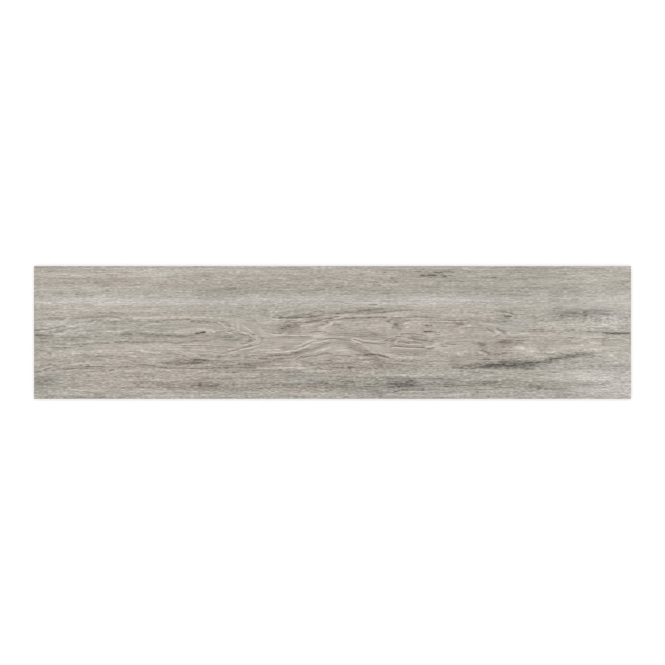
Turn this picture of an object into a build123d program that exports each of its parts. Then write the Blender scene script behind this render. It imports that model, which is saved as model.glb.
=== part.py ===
from build123d import *

import math
import os

# Wood-look porcelain plank, an outdoor floor tile: one dry-pressed and fired slab.
#
# The edges are ground square after firing and the rim of the face is eased. The back keeps
# the grid of shallow keys that the press die leaves for the bedding adhesive.
#
# Frame: origin at the centre of the bed plane, +X along the plank, +Z up through the face.
# Millimetres.

# Slab
TILE_LENGTH = 900.0
TILE_WIDTH = 200.0
TILE_THICKNESS = 10.0  # face to the feet of the back ribs
FACE_ARRIS = 0.6  # eased edge round the face, the same down and in

# Keyed back
KEY_SIDE = 20.0  # mouth of one key, at the bed plane
KEY_DEPTH = 0.8
KEY_CORNER_CUT = 3.0  # the mouth's corners are cut off at 45 degrees, the same along both sides
KEY_DRAFT = 30.0  # degrees that the walls lean, so that the die lets go
RIB_WIDTH = 5.0  # land between two keys
LEAST_RIM = 10.0  # plain land left round the back, at least

PART_FOLDER = "parts"
NODE_NAME = "plank_tile"


def keys_along(side):
    """How many keys fit along one side of the back, inside the plain rim."""
    return math.floor((side - 2 * LEAST_RIM + RIB_WIDTH) / (KEY_SIDE + RIB_WIDTH))


def ground_slab():
    """The slab with its four square edges, eased where they meet the face."""
    slab = Box(
        TILE_LENGTH,
        TILE_WIDTH,
        TILE_THICKNESS,
        align=(Align.CENTER, Align.CENTER, Align.MIN),
    )
    face_rim = slab.faces().sort_by(Axis.Z)[-1].edges()
    return chamfer(face_rim, FACE_ARRIS)


def back_keys():
    """The drafted keys, set out about the middle of the back."""
    pitch = KEY_SIDE + RIB_WIDTH
    places = GridLocations(pitch, pitch, keys_along(TILE_LENGTH), keys_along(TILE_WIDTH))
    square = Rectangle(KEY_SIDE, KEY_SIDE)
    mouth = chamfer(square.vertices(), KEY_CORNER_CUT)
    key = extrude(mouth, amount=KEY_DEPTH, taper=KEY_DRAFT)
    return [place * key for place in places]


def plank_tile():
    """The finished tile: the slab with every key pressed into its back."""
    return ground_slab() - back_keys()


os.makedirs(PART_FOLDER, exist_ok=True)
export_step(plank_tile(), os.path.join(PART_FOLDER, NODE_NAME + ".step"))
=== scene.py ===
"""Wood-look porcelain plank: a pressed, printed and fired outdoor floor tile on a plain stage.

The face's grain is a field of rings with lines drawn over it. It is pressed into the mesh
as shallow relief, and, kept as attributes of the mesh, it carries the print.
"""

import math

import bmesh
import bpy
from mathutils import Color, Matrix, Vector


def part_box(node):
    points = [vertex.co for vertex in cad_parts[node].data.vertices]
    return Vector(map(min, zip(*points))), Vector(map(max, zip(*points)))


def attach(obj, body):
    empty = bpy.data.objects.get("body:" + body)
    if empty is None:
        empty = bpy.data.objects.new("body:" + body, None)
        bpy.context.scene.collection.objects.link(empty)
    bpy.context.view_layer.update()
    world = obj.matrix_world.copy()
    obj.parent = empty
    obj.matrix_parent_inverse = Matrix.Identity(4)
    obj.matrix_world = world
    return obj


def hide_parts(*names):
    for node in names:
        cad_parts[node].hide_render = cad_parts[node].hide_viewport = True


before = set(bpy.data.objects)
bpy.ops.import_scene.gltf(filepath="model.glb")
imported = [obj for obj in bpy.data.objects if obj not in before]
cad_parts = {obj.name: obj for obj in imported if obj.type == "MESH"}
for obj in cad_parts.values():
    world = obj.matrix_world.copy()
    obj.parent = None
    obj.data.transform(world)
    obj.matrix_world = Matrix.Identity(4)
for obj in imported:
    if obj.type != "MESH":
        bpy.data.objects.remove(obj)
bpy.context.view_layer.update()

bl_info = {
    "name": "Wood-Look Plank Tile",
    "version": (1, 0, 0),
    "blender": (4, 5, 0),
    "location": "3D View > Sidebar > Tile",
    "description": "Builds a wood-look porcelain plank with a pressed grain, and a stage for it",
    "category": "Object",
}

MM = 0.001  # Blender works in metres
NEAR = 0.01 * MM  # what lies closer than this counts as the same place
NODE = "plank_tile"
BODY = "root"

TILE_LOW, TILE_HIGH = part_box(NODE)
TILE_LENGTH = TILE_HIGH[0] - TILE_LOW[0]
TILE_WIDTH = TILE_HIGH[1] - TILE_LOW[1]
TILE_THICKNESS = TILE_HIGH[2] - TILE_LOW[2]

# Mesh
FACE_CUTS = ((0, 24), (0, 16), (1, 14), (1, 13))  # axis, and cuts across each cell in that round
COUNT_SLACK = 1e-6  # so that a row of keys that fits exactly is counted
BACK_FLAT = -0.9  # normals below this lie flat in the back
KEY_SIDES = 8  # a square with its corners cut
FACE_UP = 0.5  # normals above this belong to the printed face
BACK_DOWN = -0.2  # normals below this belong to the back and the walls of its keys
SMOOTH_ANGLE = math.radians(30)

# Bake map: the rows of the picture, as shares of its height
MAP_NAME = "OFBake"
MAP_MARGIN = 0.004
MAP_OVERLAP = 2.5 * MM  # the halves of the face overlap by this on the map
MAP_SECOND_END = 1.1  # the second end starts this many widths along its row
MAP_ROWS = {
    "near side": (0.004, 0.013),
    "far side": (0.018, 0.027),
    "ends": (0.032, 0.041),
    "back": (0.046, 0.130),
    "left half": (0.136, 0.565),
    "right half": (0.569, 0.998),
}

# The grain's rings run along the plank, highest on its heart line. Places and sizes in millimetres.
HEART_LINE = -2.0
HEART_BLUNT = 14.0
RINGS_PER_MM = 0.085
RING_DRIFT = 0.9  # rings that the drift noise adds
FLOW_SHARE = 0.5  # how far the fine fibres follow the rings' bends
FLOW_TURN = 18.0  # the fibres pass from one side of the heart line to the other over this width
LINE_TAPER = 0.85  # width of a drawn line's end, as a share of its width
LINE_SHAKE = 1.6 * MM  # how far the waver noise shakes a drawn line

NOISE_MIDDLE = 0.5  # noises and slivers run from 0 to 1
SEED_STEP = 10.0  # lengths of a sliver between one seed and the next

# Noises of the press: length of a cell along the grain, its width across the grain, seed
WAVER_NOISE = (22.0, 6.0, 5.0)
DRIFT_NOISE = (80.0, 14.0, 3.0)
GROOVE_NOISE = (60.0, 3.0, 21.0)
PORE_NOISE = (14.0, 1.6, 22.0)

# Pressed depth: the values at which a kind of groove starts and is full, and its share of the relief
GROOVE_RISE = (-0.05, 0.25)
GROOVE_SHARE = 0.45
PORE_RISE = (0.0, 0.3)
PORE_SHARE = 0.35
RING_RISE = (0.75, 1.0)
RING_SHARE = 0.15
LINE_SHARE = 0.3
PRESS_RIM = 2.5  # the relief fades in over this width inside the arris

# Noises and slivers of the print: length along the grain, width across it, seed, and detail if any
SPECK_NOISE = (5.8, 0.95, 30.0, 1.0)
FINE_NOISE = (19.0, 1.15, 31.0, 1.0)
FIBRE_NOISE = (60.0, 3.0, 32.0)
STREAK_NOISE = (140.0, 6.0, 33.0)
BAND_NOISE = (300.0, 14.0, 34.0)
RING_NOISE = (60.0, 10.0, 35.0)
DASH_NOISE = (12.0, 1.5, 36.0)
STRETCH_NOISE = (60.0, 12.0, 37.0)
HAIR_NOISE = (70.0, 3.2, 38.0)
ASH_NOISE = (10.0, 1.4, 39.0, 1.0)
GRIT_SLIVERS = (12.0, 1.15, 2.0)
THREAD_SLIVERS = (70.0, 1.3, 3.0)

# Eases of the print: from one value to another, and the result at each where it isn't 0 and 1
CREAM_START = (0.0, 0.06)
CREAM_END = (0.12, 0.3, 1.0, 0.0)
BROWN_START = (0.74, 0.97)
RING_COVER = (-0.15, 0.1, 0.35, 1.0)
DARK_HAIR = (0.0, 0.08, 1.0, 0.0)
PALE_HAIR = (0.0, 0.06, 1.0, 0.0)
DASH_START = (0.1, 0.2)
DASH_COVER = (-0.1, 0.2, 0.2, 1.0)
WORN_LINE = (-0.15, 0.15, 1.2, 0.8)
ASH_COVER = (-0.16, 0.16, 1.35, 0.25)
FLECKS_IN_FIGURE = (0.0, 0.8, 1.0, 0.48)
THREADS_IN_FIGURE = (0.0, 0.8, 1.0, 0.8)
STREAKS_IN_FIGURE = (0.1, 0.6, 1.0, 0.45)
STREAKS_IN_SILVER = (8.0, 16.0, 0.5, 1.0)
ECHOES_IN_FIGURE = (0.1, 0.6)
TEXTURE_ABOVE = (25.0, 42.0, 1.0, 0.84)
TEXTURE_BELOW = (-70.0, -40.0, 1.12, 1.0)
TINT_ENDS = (-1.0, 1.0, 0.0, 1.0)
FACE_ROUGHNESS = (-0.2, 0.2, 0.75, 0.62)

# Print levels run from 0, black, to 255, white. This is how many each layer adds at its full strength.
FULL_LEVEL = 255.0
LEVELS = {
    "ground": 169.0,
    "speck": 126.0,
    "grit": 28.0,
    "dash": -26.0,
    "thread": 12.0,
    "fine": 47.0,
    "fibre": 21.0,
    "streak": 48.0,
    "band": 35.0,
    "cream": 12.0,
    "brown": -14.0,
    "dark hair": -6.0,
    "pale hair": 4.0,
    "echo": 8.0,
    "burn": -38.0,
    "burn red": -0.5,
    "burn blue": 2.0,
    "dark line": -29.0,
    "pale line": 28.0,
}
MIDDLE_TONE = 168.0  # print level at which the grounds are given
LEAST_TONE = 25.0
PRINT_GAMMA = 2.2
RING_STIR = 0.12  # rings by which the fibres stir the ring lines
PALE_HAIR_AT = 0.13  # the pale hairs lie where the hair noise has this value
SILVER_LINE = 46.0  # middle of the whitewashed band, across
ECHO_STEP = 3.0  # between a drawn line and its first echo
ECHO_REACH = 6.0  # the echoes of a line die out over this distance
ECHO_STIR = 0.3  # share of a step by which the fibres shift the echoes
BURN_GROUND = 0.3  # how far a smear darkens its ground, beside its ash
SMEAR_TEXTURE = 0.1  # how much stronger the texture is in a smear
DASH_HEIGHT = -0.5  # height of a dash in the fine bump
FACE_GLOSS = 0.35

# Fine bumps: height and strength
FACE_BUMP = (0.2 * MM, 0.6)
EDGE_BUMP = (0.15 * MM, 0.5)
BACK_BUMP = (0.3 * MM, 0.6)

# Fired body: size of a grain in millimetres, detail, and the print levels that it stirs
BODY_SPECKLE = (0.7, 2.0, 36.0)
BODY_CLOUD = (9.0, 3.0, 22.0)

# Shades of the body: a print level, and the colour there
BODY_SHADES = (
    (60, (66, 60, 53)),
    (130, (138, 130, 119)),
    (180, (188, 180, 168)),
    (225, (230, 225, 216)),
)

# Ground edge
GRIND_NOISE = (60.0, 0.35, 41.0)
EDGE_LEVEL = 176.0
GRIND_LEVELS = 40.0
GLAZE_LEVELS = -22.0
GLAZE_LINE = (9.0, 9.35)  # millimetres over the bed, where the body passes into the glaze
EDGE_ROUGHNESS = (-0.2, 0.2, 0.55, 0.75)
EDGE_GRAIN = 0.5  # the body's grain in the bump, beside the grinding lines

# Unglazed back
WASH_NOISE = (70.0, 50.0, 51.0, 4.0, 0.6)
BACK_LEVEL = 166.0
PATCH_LEVELS = 30.0
WASH_LEVELS = 34.0
WASH_FEET = (0.0, 0.25, 1.0, 0.0)  # millimetres over the bed, up to which the wash clings
WASH_COVER = (-0.15, 0.2)
BACK_ROUGHNESS = (-0.2, 0.2, 0.92, 0.78)

# Stage
WHITE = (1.0, 1.0, 1.0, 1.0)
FLOOR_DROP = 0.05 * MM  # the floor lies this far under the tile

# Swells in the rings bend them into the figure: name, along, across, half length, half width,
# height in rings, and lean in millimetres of rise for each millimetre along.
RING_SWELLS = (
    ("left lens", -300, -1, 160, 22, 2.0, 0.0),
    ("left shoulder", -350, 20, 60, 9, 0.6, 0.0),
    ("left tongue", -165, -9, 46, 13, 1.1, -0.10),
    ("saddle", -88, 6, 44, 26, -2.6, -0.06),
    ("right lens", 125, 8, 130, 20, 2.0, 0.02),
    ("right brow", 20, 24, 90, 12, 0.7, 0.08),
    ("arch", 12, -25, 60, 19, -2.6, 0.0),
    ("arch foot", -70, -40, 50, 14, 0.4, 0.10),
    ("eye", 121, -15, 34, 9, 2.0, 0.0),
    ("right saddle", 285, 10, 36, 20, -1.4, -0.10),
    ("right fan", 400, 28, 120, 13, 1.7, 0.0),
    ("small eye", 426, -15, 24, 7, 1.1, 0.0),
    ("right hollow", 330, -28, 60, 12, -0.6, 0.04),
    ("lower left", -450, -52, 60, 16, 1.5, 0.20),
)

# Where the ring lines show, and how strongly.
FIGURE_SWELLS = (
    ("heart", -60, -4, 500, 26, 0.6, 0.0),
    ("tongue tip", -135, -4, 50, 24, 0.5, 0.0),
    ("arch", 0, -22, 90, 20, 0.5, 0.0),
    ("eye", 121, -15, 55, 14, 0.5, 0.0),
    ("fan", 300, 26, 50, 14, 0.3, 0.0),
    ("right tip", 250, 0, 30, 12, 0.4, 0.0),
    ("small eye", 426, -15, 30, 9, 0.5, 0.0),
    ("lower left", -420, -50, 50, 14, 0.4, 0.0),
)

# Broad lighter and darker stretches of the print, and one painted shade at the left end, in print
# levels from 0, black, to 255, white.
TONE_SWELLS = (
    # Straight grain above
    ("silver band", -60, 47, 700, 10, 13, 0.0),
    ("silver left", -330, 44, 110, 9, 9, 0.0),
    ("silver middle", -110, 48, 34, 7, -3, 0.0),
    ("silver right", 150, 48, 60, 9, 10, 0.0),
    ("silver end", 425, 48, 40, 9, 8, 0.0),
    ("silver break", -170, 52, 34, 7, -14, 0.0),
    ("top left", -262, 88, 40, 14, 18, 0.0),
    ("top light", -195, 92, 45, 9, 12, 0.0),
    ("upper left", -340, 62, 130, 14, 6, 0.0),
    ("upper straight", 40, 72, 500, 13, -4, 0.0),
    ("upper shade", 215, 60, 50, 8, -9, 0.0),
    ("upper patch", -165, 68, 24, 6, -3, 0.0),
    ("top right end", 400, 85, 70, 20, 6, 0.0),
    # Left heart
    ("left brow", -290, 28, 100, 8, 4, 0.0),
    ("left end", -420, 12, 60, 8, 13, 0.0),
    ("left post", -399, 25, 5, 8, 12, 0.0),
    ("left shade", -330, -7, 130, 6, -7, 0.0),
    ("left sill", -290, -26, 90, 7, 9, 0.0),
    ("left sill end", -410, -27, 50, 7, 8, 0.0),
    ("tongue shade", -153, -9, 16, 5, -5, 0.0),
    ("tongue neck", -103, -3, 8, 7, 11, -0.6),
    # Painted shade: a darker strip along the left end of the face, standing in for the shading at the
    # tile's edge
    ("left rim painted shade", -446, -15, 10, 14, -8, 0.0),
    ("tongue light", -195, 6, 12, 9, 7, 0.0),
    # Saddle and brow
    ("saddle patch", -66, 7, 18, 6, -31, 0.0),
    ("saddle top", -58, 24, 28, 6, -19, 0.0),
    ("saddle lid", -26, 22, 12, 5, -13, 0.15),
    ("saddle light", -21, -4.5, 12, 6, 30, 0.1),
    ("stem shade", 8, 9, 22, 5, -5, -0.3),
    ("stem field", -30, 10, 30, 7, -6, 0.0),
    ("brow shade", 30, 30, 70, 7, -9, 0.08),
    ("brow knot", 62, 33, 22, 5, -3, 0.0),
    # Arch
    ("arch band left", -110, -46, 34, 7, -16, 0.1),
    ("arch band", -55, -33, 34, 4, -26, 0.24),
    ("arch light", -8, -25, 18, 3.5, 7, 0.12),
    ("arch light right", 17, -28.5, 11, 3.5, 19, -0.35),
    ("brown slope", 48, -30, 24, 4.5, -32, -0.5),
    ("under arch", 15, -50, 60, 7, -8, 0.0),
    ("pale triangle", -52, -50, 8, 5, 22, -0.3),
    ("pale lobe", 66, -24, 10, 5, 15, -0.2),
    ("pale post", 84, -24, 4, 9, 6, 0.0),
    # Right heart and the eye
    ("heart shade", 45, -4, 45, 6, -9, 0.0),
    ("heart floor", 70, -9, 130, 9, -4, 0.0),
    ("eye shelf", 205, -3, 28, 4, -5, 0.0),
    ("shelf below", 120, -36, 60, 4, -4, 0.0),
    ("fleck", 96, 10, 8, 5, -26, 0.0),
    ("fleck field", 186, 12, 10, 5, -11, 0.0),
    ("right heart", 190, 4, 40, 8, 2, 0.0),
    ("eye rim", 160, -10, 24, 8, 9, 0.0),
    ("eye field", 115, -30, 28, 4.5, -18, 0.0),
    ("eye light", 160, -24, 14, 5, 18, 0.0),
    ("pale spot", 192, -33, 7, 2.6, 28, 0.0),
    # Right tip, fan and small eye
    ("tip hollow", 228, -18, 16, 4, -24, 0.0),
    ("tip foot", 245, -26, 22, 5, -3, 0.0),
    ("tip shade", 264, -15, 18, 4, -33, 0.0),
    ("tip light", 291, -25, 16, 8, 21, -0.15),
    ("hollow", 318, -24, 6, 6, -16, 0.0),
    ("tail light", 345, -24, 25, 5, 10, 0.0),
    ("olive fan", 262, 25, 12, 8, -12, 0.0),
    ("fan gap", 320, 31, 16, 7, 6, 0.0),
    ("right dark", 430, -1, 26, 4, -7, 0.0),
    ("right shade", 365, -10, 40, 9, -4, 0.0),
    ("over the streak", 280, -37, 24, 5, 9, 0.0),
    ("fan light", 370, 12, 90, 8, 11, 0.0),
    ("pink spot", 420, -33.5, 6, 3, 8, 0.0),
    ("right end", 445, 30, 60, 60, 8, 0.0),
    # Straight grain below
    ("brown smear", -212, -44.5, 30, 5, -22, 0.08),
    ("lower left shade", -370, -53, 80, 5, -13, 0.0),
    ("lower shade", -160, -50, 120, 7, -8, 0.0),
    ("lower run", 190, -47, 30, 6, -7, 0.0),
    ("bottom shade", 0, -74, 300, 20, -7, 0.0),
    ("bottom band", -20, -79, 280, 7, -13, 0.0),
    ("bottom dip", -190, -80, 40, 5, -3, 0.0),
    ("bottom left", -200, -88, 90, 8, -4, 0.0),
    ("bottom slate", -30, -74, 60, 7, -6, 0.0),
    ("bottom middle", 150, -88, 60, 7, -4, 0.0),
    ("bottom patch", 50, -92, 40, 8, -17, 0.0),
    ("bottom light", -252, -94, 14, 7, 7, 0.0),
    ("left pores", -440, -73, 24, 7, -13, 0.0),
    ("lower right light", 380, -62, 40, 6, 14, 0.0),
    ("bottom right", 435, -78, 75, 38, 21, 0.0),
)

# Tint of the print: rosy towards 1, olive about 0, silver towards -1.
TINT_SWELLS = (
    ("heart", 50, -12, 260, 30, 2.2, 0.0),
    ("right tail", 290, -18, 90, 16, 1.5, 0.0),
    ("brow", 120, 28, 130, 14, 1.6, 0.0),
    ("lower heart", -190, -48, 260, 24, 2.0, 0.0),
    ("lower left", -250, -80, 130, 16, 1.2, 0.0),
    ("upper left", -350, 28, 140, 10, 1.8, 0.0),
    ("top left", -350, 78, 110, 20, 1.4, 0.0),
    ("top middle", -100, 80, 150, 20, 1.3, 0.0),
    ("top heart", 60, 88, 100, 12, 1.3, 0.0),
    ("silver band", -200, 48, 340, 9, -1.2, 0.0),
    ("silver right", 200, 46, 200, 9, -0.7, 0.0),
    ("foot", -37, -88, 40, 8, 1.6, 0.0),
    ("left foot", -335, -86, 60, 10, 1.0, 0.0),
    ("lower olive", -37, -68, 35, 8, -1.8, 0.0),
    ("tongue olive", -156, -9, 26, 9, -1.3, 0.0),
    ("brow slate", -66, 27, 26, 6, -1.1, 0.0),
    ("right blue", 276, 11, 30, 11, -1.6, 0.0),
    ("silver corner", 430, -78, 60, 35, -1.0, 0.0),
    ("silver end", 430, 18, 60, 22, -0.9, 0.0),
    ("silver top", -255, 92, 40, 14, -0.9, 0.0),
    ("bottom edge", -50, -92, 400, 9, -0.5, 0.0),
    ("left corner", -430, -78, 40, 22, -0.5, 0.0),
    ("left end", -405, 4, 90, 16, -0.5, 0.0),
    ("streak", 330, -48, 60, 12, -0.7, 0.0),
    ("pore patch", 112, -72, 60, 14, -0.7, 0.0),
)

# Charcoal smears, where the pores are full and dark.
SMEAR_SWELLS = (
    ("streak start", 228, -51, 46, 4.5, 0.5, 0.04),
    ("streak heart", 266, -49, 40, 6.0, 1.0, 0.02),
    ("streak shoulder", 300, -48.5, 14, 6.5, 0.6, 0.0),
    ("streak rise", 330, -42, 26, 5.5, 0.8, 0.22),
    ("streak end", 368, -34.5, 30, 4.0, 0.65, 0.12),
    ("streak tail", 425, -52, 30, 4.0, 0.2, 0.0),
    ("brown smear", -224, -44, 34, 5.0, 0.3, 0.06),
    ("fan smear", 376, 30, 45, 6.5, 0.5, 0.0),
    ("pore patch", 104, -79, 34, 10, 0.5, 0.0),
    ("pore tail", 180, -76, 55, 6, 0.35, 0.0),
    ("lower dashes", 240, -75, 18, 3, 0.3, 0.0),
    ("lower far dashes", 310, -83, 30, 3, 0.3, 0.0),
    ("left pores", -436, -72, 24, 7, 0.5, 0.0),
    ("top dashes", 150, 87, 34, 5, 0.3, -0.05),
)
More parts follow.
